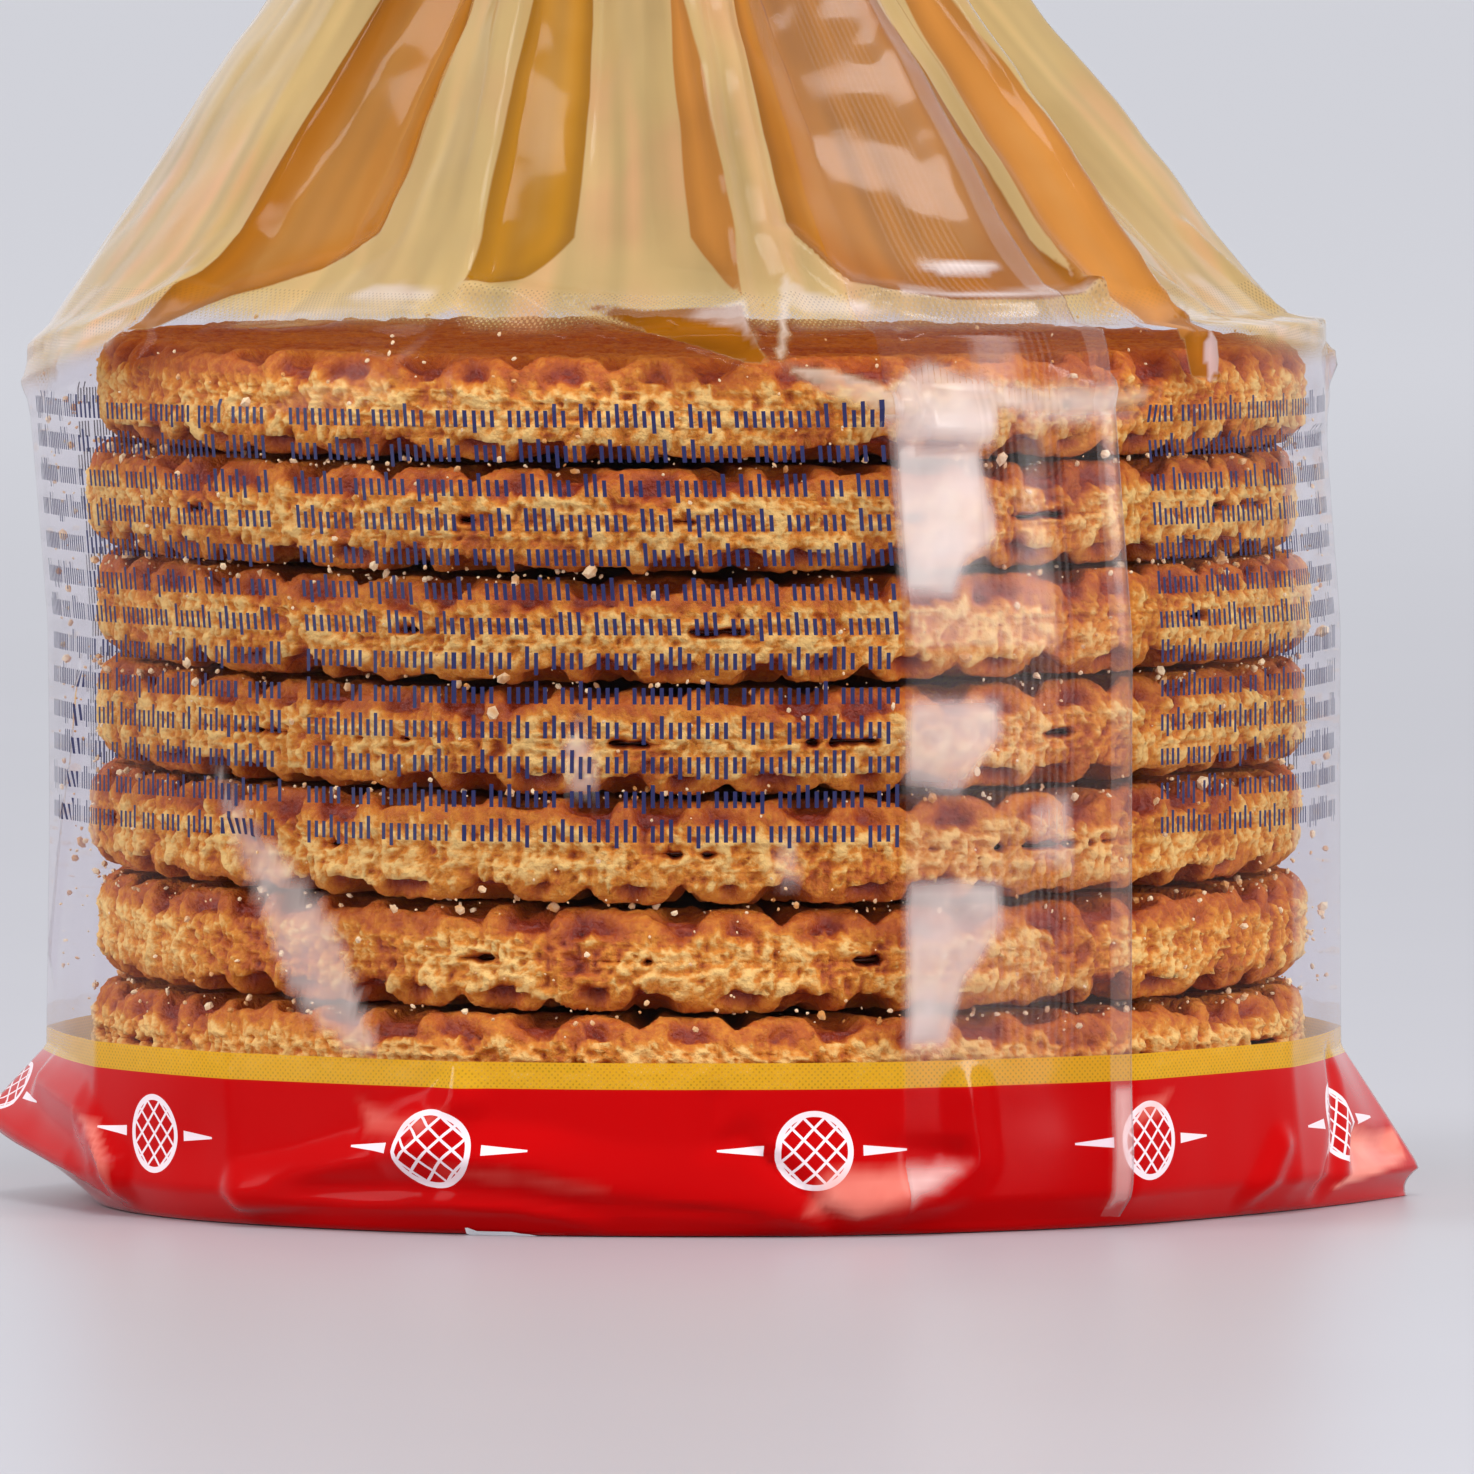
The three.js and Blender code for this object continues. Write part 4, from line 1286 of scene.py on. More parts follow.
@dataclass(frozen=True)
class Film:
    """The printed film: one closed skin from the base to the ruffle, with its print and its lap seam."""

    form: BagForm = field(default_factory=BagForm)
    finish: FilmFinish = field(default_factory=FilmFinish)
    inks: RoofPrint = field(default_factory=RoofPrint)
    creases: tuple[Crease, ...] = BAND_CREASES + WALL_CREASES + ROOF_CREASES
    facets: tuple[Facet, ...] = FACETS
    painted_highlights: tuple[PaintedHighlight, ...] = PAINTED_HIGHLIGHTS
    dents: tuple[Dent, ...] = (
        Dent(-33, 3.0, 6, 1.0, -0.7),
        Dent(-50, 5.5, 6, 3, -0.4),
        Dent(40, 5.0, 9, 3, 0.3),
        Dent(88, 57.8, 8, 3, 0.8),
    )
    stripe: Point = (10.05, 11.85)
    roof: tuple[float, float, float] = (55.5, 64.5, 140.0)
    front: Point = (-100.0, 100.0)
    back_end: float = 260.0
    front_columns: int = 340
    back_columns: int = 110
    hem_row: float = -3.0
    fine_until: float = 71.0
    row_counts: tuple[int, ...] = (9, 28, 4, 36, 40, 70, 40)
    route_step: float = 2.0
    facet_ends: Point = (-0.1, 1.1)
    wall_waves: tuple[Ripple, ...] = (Ripple((9.0, 9.0, 30.0), 0.2), Ripple((4.0, 4.0, 11.0), 0.06, 50.0))
    crumple: Ripple = Ripple(7.0, 0.5, 90.0, 3)
    crumple_ends: Point = (56.0, 74.0)
    calm_ends: Point = (-2.0, 3.0)
    # The ragged edges and thinning of the painted highlight patches.
    highlight_wander: Ripple = Ripple(2.2, layers=3)
    highlight_cloud: Ripple = Ripple((4.0, 4.0, 2.6))
    highlight_reach: float = 0.4
    highlight_start: float = -0.1
    highlight_thinning: float = 0.35
    waffle_middle: Point = (0.4, 0.0)
    waffle_reach: float = 43.5
    rim_below: Point = (48.0, 54.0)
    rim_above: Point = (61.0, 63.2)
    soft_from: float = 43.8
    soft_room: float = 0.9
    lowest: float = 0.02
    seam_edges: Point = (18.6, 41.3)
    seam_low: float = 0.5
    seam_top: float = 96.0
    seam_columns: int = 96
    seam_rows: int = 190
    seam_out: float = 0.22
    seam_curl_width: float = 2.1
    seam_curl: float = 0.12

    @property
    def reach(self) -> float:
        """Millimetres round the wall in one degree."""
        return self.form.wall_radius * math.pi / 180

    def bearings(self) -> np.ndarray:
        """A bearing for each column, closer together at the front."""
        front = np.linspace(*self.front, self.front_columns)
        back = np.linspace(self.front[1], self.back_end, self.back_columns)
        return np.concatenate([front, back[1:]])

    def rows(self) -> np.ndarray:
        """Millimetres up the film for each row, closest together at the band and the shoulder."""
        along = self.form.chart(self.form.levels())
        start, _, end = self.roof
        marks = [along[0], self.hem_row, *self.stripe, start, self.fine_until, end, along[-1]]
        rows = [np.linspace(*ends, count)[:-1] for *ends, count in zip(marks, marks[1:], self.row_counts)]
        return np.concatenate([*rows, along[-1:]])

    def route(self, path: tuple[Point, ...]) -> np.ndarray:
        """Places along a crease on the plain form."""
        bearings, ups = [], []
        for (turn, up), (next_turn, next_up) in zip(path, path[1:]):
            count = 2 + int(abs(next_turn - turn) / self.route_step)
            bearings.append(np.linspace(turn, next_turn, count))
            ups.append(np.linspace(up, next_up, count))
        turns, along = np.concatenate(bearings), np.concatenate(ups)
        return self.form.base(turns, along)[np.arange(len(along)), np.arange(len(turns))]

    def distance(self, points: np.ndarray, crease: Crease) -> np.ndarray:
        """How far each point of the film is from a crease."""
        route = self.route(crease.path)
        nearest = np.full(points.shape[:2], FAR)
        for start, end in zip(route, route[1:]):
            along = end - start
            length = float(along @ along)
            share = np.clip(((points - start) @ along) / max(length, SMALLEST), 0, 1)
            nearest = np.minimum(nearest, np.linalg.norm(points - start - share[..., None] * along, axis=-1))
        return nearest

    def relief(self, bearings: np.ndarray, up: np.ndarray, points: np.ndarray) -> np.ndarray:
        """How far the small folds stand out from the film's plain form.

        Args:
            bearings: A bearing for each column.
            up: Millimetres up the film for each row.
            points: The plain form.

        Returns:
            Rows of columns of distances, outwards positive.
        """
        total = np.zeros(points.shape[:2])
        for crease in self.creases:
            total += crease.rise * np.clip(1 - self.distance(points, crease) / crease.width, 0, 1)
        chart = self.chart(bearings, up)
        for facet in self.facets:
            middle = np.mean([(turn * self.reach, height) for turn, height in facet.corners], axis=0)
            away = chart - middle
            plane = facet.rise + facet.slope_across * away[..., 0] + facet.slope_up * away[..., 1]
            total += plane * ease(self.inside_share(chart, facet.corners), *self.facet_ends)
        for dent in self.dents:
            across = turn_apart(bearings[None, :], dent.bearing) * self.reach / dent.across
            rise = (up[:, None] - dent.up) / dent.tall
            total += dent.rise * np.exp(-(across**2) - rise**2)
        grain = Grain(Seed.FOLDS)
        long_wave, short_wave = self.wall_waves
        soft = long_wave.at(grain, points) + short_wave.at(grain, points)
        loose = ease(up, *self.crumple_ends)[:, None]
        calm = ease(up, *self.calm_ends)[:, None]
        return total * calm + (soft * (1 - loose) + self.crumple.at(grain, points) * loose) * calm

    def skin(self, bearings: np.ndarray, up: np.ndarray, out: float = 0.0) -> np.ndarray:
        """Rows of columns of places on the film with its small folds, or this far outside it."""
        points = self.form.base(bearings, up)
        relief = self.relief(bearings, up, points)
        return self.drape(points + normals_of(points) * (relief + out)[..., None])

    def drape(self, points: np.ndarray) -> np.ndarray:
        """Keeps the film outside the top waffle, and inside the box of the solid that it stands for."""
        placed = points.copy()
        across, deep = placed[..., 0] - self.waffle_middle[0], placed[..., 1] - self.waffle_middle[1]
        radius = np.hypot(across, deep)
        height = placed[..., 2]
        need = self.waffle_reach * (ease(height, *self.rim_below) * (1 - ease(height, *self.rim_above)))
        grown = np.maximum(radius, need) / np.maximum(radius, SMALLEST)
        placed[..., 0] = self.waffle_middle[0] + across * grown
        placed[..., 1] = self.waffle_middle[1] + deep * grown
        depth = np.abs(placed[..., 1])
        soft = self.soft_from + self.soft_room * (1 - np.exp(-(depth - self.soft_from) / self.soft_room))
        placed[..., 1] = np.sign(placed[..., 1]) * np.where(depth > self.soft_from, soft, depth)
        return placed

    def chart(self, bearings: np.ndarray, up: np.ndarray) -> np.ndarray:
        """Millimetres round the bag and up the film for rows of columns."""
        return np.stack(np.broadcast_arrays(bearings[None, :] * self.reach, up[:, None]), axis=-1)

    def inside_share(self, chart: np.ndarray, corners: tuple[Point, ...]) -> np.ndarray:
        """How many millimetres inside a field each place of the chart lies, negative outside it."""
        nearest = np.full(chart.shape[:2], FAR)
        odd = np.zeros(chart.shape[:2], dtype=bool)
        scaled = [np.array([turn * self.reach, up]) for turn, up in corners]
        for start, end in zip(scaled, scaled[1:] + scaled[:1]):
            along = end - start
            away = chart - start
            share = np.clip((away @ along) / float(along @ along), 0, 1)
            nearest = np.minimum(nearest, np.linalg.norm(away - share[..., None] * along, axis=-1))
            spans = (start[1] > chart[..., 1]) != (end[1] > chart[..., 1])
            slope = along[0] / along[1] if along[1] else 0.0
            odd ^= spans & (chart[..., 0] < start[0] + slope * (chart[..., 1] - start[1]))
        return np.where(odd, nearest, -nearest)

    def highlight_strength(self, chart: np.ndarray, points: np.ndarray) -> np.ndarray:
        """How much painted highlight lies on the film at each point, from 0 to 1: milky patches that stand
        for reflections of the lamps.
        """
        ragged = self.highlight_wander.at(Grain(Seed.HIGHLIGHT_WANDER), points)
        cloudy = self.highlight_cloud.at(Grain(Seed.HIGHLIGHT_CLOUD), points)
        thinned = 1 - self.highlight_thinning * ragged - self.highlight_thinning * cloudy
        total = np.zeros(chart.shape[:2])
        for patch in self.painted_highlights:
            inside = self.inside_share(chart, patch.corners) + self.highlight_reach * patch.soft * ragged
            milky = patch.strength * ease(inside, self.highlight_start, patch.soft) * thinned
            total = np.maximum(total, milky)
        return total

    def zones(self, up: np.ndarray, veil_and_highlight: np.ndarray) -> np.ndarray:
        """The number of each face's zone, from the rows' places up the film and how much painted highlight
        each point has.
        """
        order = list(Zone)
        middle = (up[1:] + up[:-1]) / 2
        numbers = np.searchsorted([*self.stripe, *self.roof], middle)
        zones = np.repeat(numbers, veil_and_highlight.shape[1] - 1).astype(np.int32)
        corners = [veil_and_highlight[:-1, :-1], veil_and_highlight[1:, :-1], veil_and_highlight[:-1, 1:], veil_and_highlight[1:, 1:]]
        # Wall faces under painted highlight patches get their own material.
        highlit = (np.max(corners, axis=0) > 0).ravel() & (zones == order.index(Zone.WALL))
        zones[highlit] = order.index(Zone.HIGHLIT_WALL)
        return zones

    def build(self) -> bpy.types.Object:
        """Makes the closed skin and dresses it."""
        bearings, up = self.bearings(), self.rows()
        points = self.skin(bearings, up)
        points[:, -1] = points[:, 0]
        points[..., 2] = np.maximum(points[..., 2], self.lowest)
        chart = self.chart(bearings, up)
        skin = rolled_sheet("film", points, chart)
        self.inks.print_on(self, skin, chart, points)
        for zone in Zone:
            skin.data.materials.append(self.finish.material(zone))
        skin.data.polygons.foreach_set("material_index", self.zones(up, self.highlight_strength(chart, points)))
        return weld(skin)

    def build_seam(self) -> bpy.types.Object:
        """Makes the strip of film that laps over at the front."""
        edge = self.seam_edges[1]
        bearings = np.linspace(*self.seam_edges, self.seam_columns)
        up = np.linspace(self.seam_low, self.form.up_film(self.seam_top), self.seam_rows)
        points = self.skin(bearings, up, self.seam_out)
        curl = ease(bearings, edge - self.seam_curl_width, edge) * self.seam_curl
        points = points + normals_of(points) * curl[None, :, None]
        chart = self.chart(bearings, up)
        seam = rolled_sheet("lap_seam", points, chart)
        # Painted highlight patches on the seam.
        paint(seam, "veil_and_highlight", self.highlight_strength(chart, points))
        weld(seam)
        seam.data.materials.append(self.finish.seam_material())
        return seam


@dataclass(frozen=True)
class Label:
    """The plain white label stuck under the base, whose corner shows on the front's lowest edge."""

    bearings: Point = (-21.4, -6.0)
    up: Point = (-11.0, 1.3)
    columns: int = 20
    rows: int = 40
    out: float = 0.1
    corner: Point = (-15.9, 0.45)
    slope: float = 4.0
    white: Triple = (0.86, 0.86, 0.88)
    roughness: float = 0.5

    def build(self, film: Film) -> bpy.types.Object:
        """Lays the label on the film, cuts its upper edge straight and dresses it."""
        bearings, up = np.linspace(*self.bearings, self.columns), np.linspace(*self.up, self.rows)
        points = film.skin(bearings, up, self.out)
        points[..., 2] = np.maximum(points[..., 2], 0.0)
        label = rolled_sheet("base_label", points)
        across, height = self.corner
        angle = math.radians(self.slope)
        open_mesh(label)
        bpy.ops.mesh.bisect(
            plane_co=(across * MM, 0, height * MM),
            plane_no=(math.sin(angle), 0, math.cos(angle)),
            clear_outer=True,
        )
        bpy.ops.object.mode_set(mode="OBJECT")
        paper = Sketch("label").solid(Base_Color=(*self.white, 1.0), Roughness=self.roughness)
        label.data.materials.append(paper)
        return label


# The waffles


class Side(Enum):
    """The two leaves of a waffle."""

    LOWER = "lower"
    UPPER = "upper"


@dataclass(frozen=True)
class Crust:
    """How the crust of one leaf differs from the other's.

    Its way is 1 for a leaf whose face is up and -1 for one whose face is down. Its ends are how far below the
    face the crust starts and has wholly turned into crumb.
    """

    way: float
    ends: Point
    ridge_tone: float
    pit_tone: float
    pit_share: float


# Pits are darker than ridges; the lower leaf's darker pit tone is painted shade for its downward side.
CRUSTS = {
    Side.LOWER: Crust(-1.0, (0.9, 1.6), 0.34, 0.92, 1.25),
    Side.UPPER: Crust(1.0, (1.1, 2.3), 0.46, 0.84, 1.0),
}


@dataclass(frozen=True)
class BakeAndShade:
    """How far the parts of a leaf are browned in the oven, from 0 for the palest crumb to 1 for the darkest
    crust, with painted shade added in crevices and cracks.
    """

    face: float = 0.4
    face_pit: float = 0.24
    face_patch: float = 0.14
    crust_patch: float = 0.12
    # crust_lumps, crumb_lumps and crumb_specks darken the crevices between lumps and specks: painted shade.
    crust_lumps: float = 0.06
    crumb: float = 0.2
    crumb_patch: float = 0.26
    patch_ends: Point = (0.0, 0.6)
    crumb_lumps: float = 0.16
    crumb_specks: float = 0.12
    # gape darkens the rim where a crack opens: painted shade in the crack.
    gape: float = 0.6
    inner: float = 0.8


@dataclass(frozen=True)
class Leaf:
    """One half of a waffle: a thin baked disc with a grid of pits outside and a crumbly rim.

    Each pair of depths is a depth on the face and what the rim or the crumb adds to it.
    """

    radius: float = 41.7
    thickness: float = 3.5
    bevel_width: float = 1.7
    bevel_height: float = 2.1
    pit_pitch: float = 4.6
    ridge_edge: float = 0.39
    pit_slope: float = 0.8
    pit_depth: float = 0.95
    columns: int = 960
    bevel_rows: int = 10
    crumb_rows: int = 10
    face_rows: int = 74
    hidden_face: tuple[float, ...] = (0.0, 0.6, 0.94, 0.98, 1.0)
    overlap: float = 0.3
    outline: tuple[Ripple, ...] = (Ripple(14.0, 0.3), Ripple(3.3, 0.2, 31.0))
    crack: tuple[Ripple, ...] = (Ripple(5.0, shift=200.0), Ripple(1.1, 0.45, 250.0))
    crack_ends: Point = (0.7, 1.0)
    fray: Point = (0.15, 0.16)
    fray_size: float = 0.8
    fray_shift: Point = (320.0, 60.0)
    patch: Ripple = Ripple(6.0, shift=400.0, layers=2)
    lumps: tuple[Ripple, ...] = (Ripple(1.7, 0.55), Ripple(0.95, 0.5, 33.0))
    specks: Ripple = Ripple(0.55, shift=70.0)
    grit: Ripple = Ripple(0.34, shift=90.0)
    lump_depths: Point = (0.1, 0.13)
    speck_depths: Point = (0.05, 0.12)
    grit_depths: Point = (0.02, 0.06)
    rim_ends: Point = (0.5, 1.4)
    face_ends: Point = (0.0, 0.5)
    crumb_wander: float = 0.45
    pit_wander: float = 0.2
    gape_width: float = 0.9
    gape_ends: Point = (0.75, 1.0)
    tuck: float = 0.3
    inner_inset: float = 1.1
    inner_height: float = 0.3
    bake_and_shade: BakeAndShade = BakeAndShade()

    def pits(self, across: np.ndarray, deep: np.ndarray, turn: float) -> np.ndarray:
        """How much of a pit there is at a place on the face.

        Args:
            across: Place along X from the waffle's middle.
            deep: Place along Y from the waffle's middle.
            turn: How far the grid is turned.

        Returns:
            0 on a ridge, 1 in a pit.
        """
        angle = math.radians(turn)
        first = across * math.cos(angle) + deep * math.sin(angle)
        second = deep * math.cos(angle) - across * math.sin(angle)
        inside = []
        for value in (first, second):
            from_ridge = self.pit_pitch / 2 - np.abs((value % self.pit_pitch) - self.pit_pitch / 2)
            inside.append(ease(from_ridge, self.ridge_edge, self.ridge_edge + self.pit_slope))
        return inside[0] * inside[1]

    def profile(self, grain: Grain, way: float, split_share: float, whole_face: bool) -> tuple:
        """Works out the leaf's smooth shape, from the middle of its outer face to its inner edge.

        Args:
            grain: The waffle's random pattern.
            way: 1 for the upper leaf, -1 for the lower one.
            split_share: How much of the rim has a crack between the leaves, 0 to 1.
            whole_face: Whether the outer face shows and needs all its rows.

        Returns:
            Each column's angle, rows of radii and of heights, how far each row leans from the face to the
            rim, and how wide the crack gapes at each point.
        """
        angles = np.radians(np.linspace(0, FULL_TURN, self.columns + 1))
        circle = rings(angles, np.ones_like(angles), 0 * angles) * self.radius
        wide, narrow = self.outline
        outline = self.radius + wide.at(grain, circle) + narrow.at(grain, circle)
        long_crack, short_crack = self.crack
        ragged = long_crack.at(grain, circle) + short_crack.at(grain, circle)
        closed, opened = self.crack_ends
        split = ease(ragged, closed - split_share, opened - split_share)
        shares = np.linspace(0, 1, self.face_rows) if whole_face else np.array(self.hidden_face)
        face_radii = shares[:, None] * (outline - self.bevel_width)[None, :]
        lean = np.radians(np.linspace(0, 90, self.bevel_rows))[1:, None]
        bevel_radii = outline[None, :] - self.bevel_width * (1 - np.sin(lean))
        bevel_heights = self.thickness - self.bevel_height * (1 - np.cos(lean))
        down = np.linspace(0, 1, self.crumb_rows + 1)[1:, None]
        both, apart = self.fray_shift
        frayed = grain.at(circle + both + apart * way, self.fray_size)
        lowest = (self.fray[0] + self.fray[1] * frayed) * split - self.overlap * (1 - split)
        crumb_radii = np.repeat(outline[None], self.crumb_rows, axis=0)
        crumb_heights = (self.thickness - self.bevel_height) * (1 - down) + lowest * down**2
        radii = np.concatenate([face_radii, bevel_radii, crumb_radii])
        heights = np.concatenate([
            np.full_like(face_radii, self.thickness),
            np.broadcast_to(bevel_heights, bevel_radii.shape),
            crumb_heights,
        ])
        tilt = np.concatenate([np.zeros(len(shares)), lean[:, 0], np.full(self.crumb_rows, math.pi / 2)])
        edge = np.concatenate([np.zeros(len(radii) - self.crumb_rows), down[:, 0]])
        gape = split[None, :] * ease(edge[:, None], *self.gape_ends) * self.gape_width
        return angles, radii, heights, tilt[:, None], gape

    def build(self, seed: int, crust: Crust, turn: float, split_share: float, whole_face: bool) -> tuple:
        """Works out the leaf, from the middle of its outer face over the rim to its inner face.

        Args:
            seed: The waffle's own random pattern, the same for both leaves.
            crust: Which of the two leaves it is.
            turn: How far the grid of pits is turned.
            split_share: How much of the rim has a crack between the leaves, 0 to 1.
            whole_face: Whether the outer face shows and gets its grid all over.

        Returns:
            Rows of columns of places about the waffle's middle, and how far each is browned, with painted
            shade added.
        """
        grain = Grain(seed)
        angles, radii, heights, tilt, gape = self.profile(grain, crust.way, split_share, whole_face)
        places = rings(angles, radii, crust.way * heights)
        pit = self.pits(places[..., 0], places[..., 1], turn)
        wide, narrow = self.lumps
        lumps = wide.clumps(grain, places) + narrow.clumps(grain, places)
        specks, grit = self.specks.clumps(grain, places), self.grit.clumps(grain, places)
        rim = ease(tilt, *self.rim_ends)
        below = self.thickness - heights
        crumby = ease(below + self.crumb_wander * lumps, *crust.ends)
        on_crust = 1 - ease(below + self.pit_wander * lumps, *crust.ends)
        sunk = crust.pit_share * self.pit_depth * pit * on_crust
        rough = lumps * (self.lump_depths[0] + self.lump_depths[1] * rim)
        rough = rough + specks * (self.speck_depths[0] + self.speck_depths[1] * rim)
        rough = rough + grit * (self.grit_depths[0] + self.grit_depths[1] * crumby)
        push = rough - sunk
        tucked = self.tuck * ease(-heights, 0.0, self.overlap)
        patch = self.patch.at(grain, places)
        tones = self.bake_and_shade
        # Pits are darker than ridges; on the lower leaf, which faces down, the darker pits are painted shade.
        side = crust.ridge_tone + (crust.pit_tone - crust.ridge_tone) * pit
        # Painted shade: the crevices between lumps, specks and grit are darker.
        side = side + tones.crust_patch * patch - tones.crust_lumps * lumps
        crumb = tones.crumb + tones.crumb_patch * ease(patch, *tones.patch_ends) - tones.crumb_lumps * lumps
        crumb = crumb - tones.crumb_specks * specks - tones.crumb_specks * grit
        turned = ease(tilt, *self.face_ends)
        face = tones.face + tones.face_pit * pit + tones.face_patch * patch
        # Painted shade: the rim is darker where a crack gapes.
        baked_and_shaded = (face * (1 - turned) + side * turned) * (1 - crumby) + crumb * crumby + tones.gape * gape
        radii = radii + push * np.sin(tilt) - gape - tucked
        heights = heights + push * np.cos(tilt)
        inner = np.stack([radii[-1] - self.inner_inset, radii[-1] * 0.5, radii[-1] * 0])
        radii = np.concatenate([radii, inner])
        heights = np.concatenate([heights, np.full(inner.shape, self.inner_height)])
        baked_and_shaded = np.concatenate([baked_and_shaded, np.full(inner.shape, tones.inner)])
        points = rings(angles, radii, crust.way * heights)
        points[:, -1] = points[:, 0]
        return points, baked_and_shaded


@dataclass(frozen=True)
class Stack:
    """The eight waffles, each of two leaves and a layer of caramel.

    Where two numbers stand for one thing, the first is the lowest waffle's and the second is what is added.
    """

    count: int = 8
    pitch: float = 7.46
    floor: float = 0.3
    middle: Point = (0.4, 0.0)
    drift: float = 0.4
    lean: float = 0.07
    lean_bearing: float = math.radians(25)
    warp_phase: Point = (0.8, 0.3)
    warp: Point = (0.12, 0.3)
    turn_each: float = 13.0
    turn_upper: float = 31.0
    split_shares: tuple[float, ...] = (0.1, 0.62, 0.3, 0.25, 0.4, 0.3, 0.3, 0.05)
    leaf: Leaf = field(default_factory=Leaf)
    finish: WaffleFinish = field(default_factory=WaffleFinish)
    caramel: CaramelFinish = field(default_factory=CaramelFinish)
    caramel_columns: int = 360
    caramel_inset: float = 1.5
    caramel_waves: tuple[Ripple, ...] = (Ripple(4.0, 0.3), Ripple(11.0, 0.3, 9.0))
    caramel_edge: tuple[Point, ...] = ((0.0, 0.28), (0.6, 0.28), (0.985, 0.26), (0.997, 0.15))

    def settle(self, points: np.ndarray, index: int) -> np.ndarray:
        """Moves a part of a waffle from about its own middle to its place in the stack.

        Args:
            points: The part.
            index: The waffle's number from the bottom.

        Returns:
            The placed points.
        """
        random = np.random.default_rng(Seed.SHIFT + index)
        shift = random.uniform(-self.drift, self.drift, 2) + np.array(self.middle)
        phase = self.warp_phase[0] + self.warp_phase[1] * index
        warp = self.warp[0] + self.warp[1] * math.sin(math.pi * index / (self.count - 1))
        towards = points[..., 0] * math.sin(self.lean_bearing) - points[..., 1] * math.cos(self.lean_bearing)
        bearing = np.arctan2(points[..., 1], points[..., 0])
        reach = np.hypot(points[..., 0], points[..., 1]) / self.leaf.radius
        placed = points.copy()
        placed[..., 2] += self.floor + self.pitch * (index + 0.5)
        placed[..., 2] += warp * np.sin(2 * bearing + phase) * reach**2
        placed[..., 2] -= self.lean * index * towards / self.leaf.radius
        placed[..., :2] += shift
        return placed

    def build(self) -> list[bpy.types.Object]:
        """Makes all leaves and caramel layers and dresses them."""
        baked_and_shaded, syrup = self.finish.material(), self.caramel.material()
        made = []
        for index in range(self.count):
            for side in Side:
                made.append(self.build_leaf(index, side, baked_and_shaded))
            made.append(self.build_caramel(index, syrup))
        return made

    def build_leaf(self, index: int, side: Side, baked_and_shaded: bpy.types.Material) -> bpy.types.Object:
        """Makes one of the two leaves of a waffle, which is given by its number from the bottom."""
        upper = side is Side.UPPER
        turn = self.turn_each * index + self.turn_upper * upper
        split, whole = self.split_shares[index], upper and index == self.count - 1
        points, tone = self.leaf.build(Seed.WAFFLE + index, CRUSTS[side], turn, split, whole)
        leaf = rolled_sheet(f"waffle_{index + 1}_{side.value}_leaf", self.settle(points, index))
        paint(leaf, "baked_and_shaded", tone)
        weld(leaf)
        leaf.data.materials.append(baked_and_shaded)
        return leaf

    def build_caramel(self, index: int, syrup: bpy.types.Material) -> bpy.types.Object:
        """Makes the layer of caramel in one waffle."""
        angles = np.radians(np.linspace(0, FULL_TURN, self.caramel_columns + 1))
        grain = Grain(Seed.CARAMEL + index)
        circle = rings(angles, np.ones_like(angles), 0 * angles) * self.leaf.radius
        first, second = self.caramel_waves
        outline = self.leaf.radius - self.caramel_inset + first.at(grain, circle) + second.at(grain, circle)
        below = [(share, -height) for share, height in self.caramel_edge]
        profile = [*below, (1.0, 0.0), *self.caramel_edge[::-1]]
        points = np.stack([rings(angles, share * outline, 0 * angles + height) for share, height in profile])
        points[:, -1] = points[:, 0]
        layer = weld(rolled_sheet(f"waffle_{index + 1}_caramel", self.settle(points, index)))
        layer.data.materials.append(syrup)
        return layer


class Where(Enum):
    """Where loose crumbs lie."""

    GAPS = "crumbs_between_waffles"
    FILM = "crumbs_on_film"


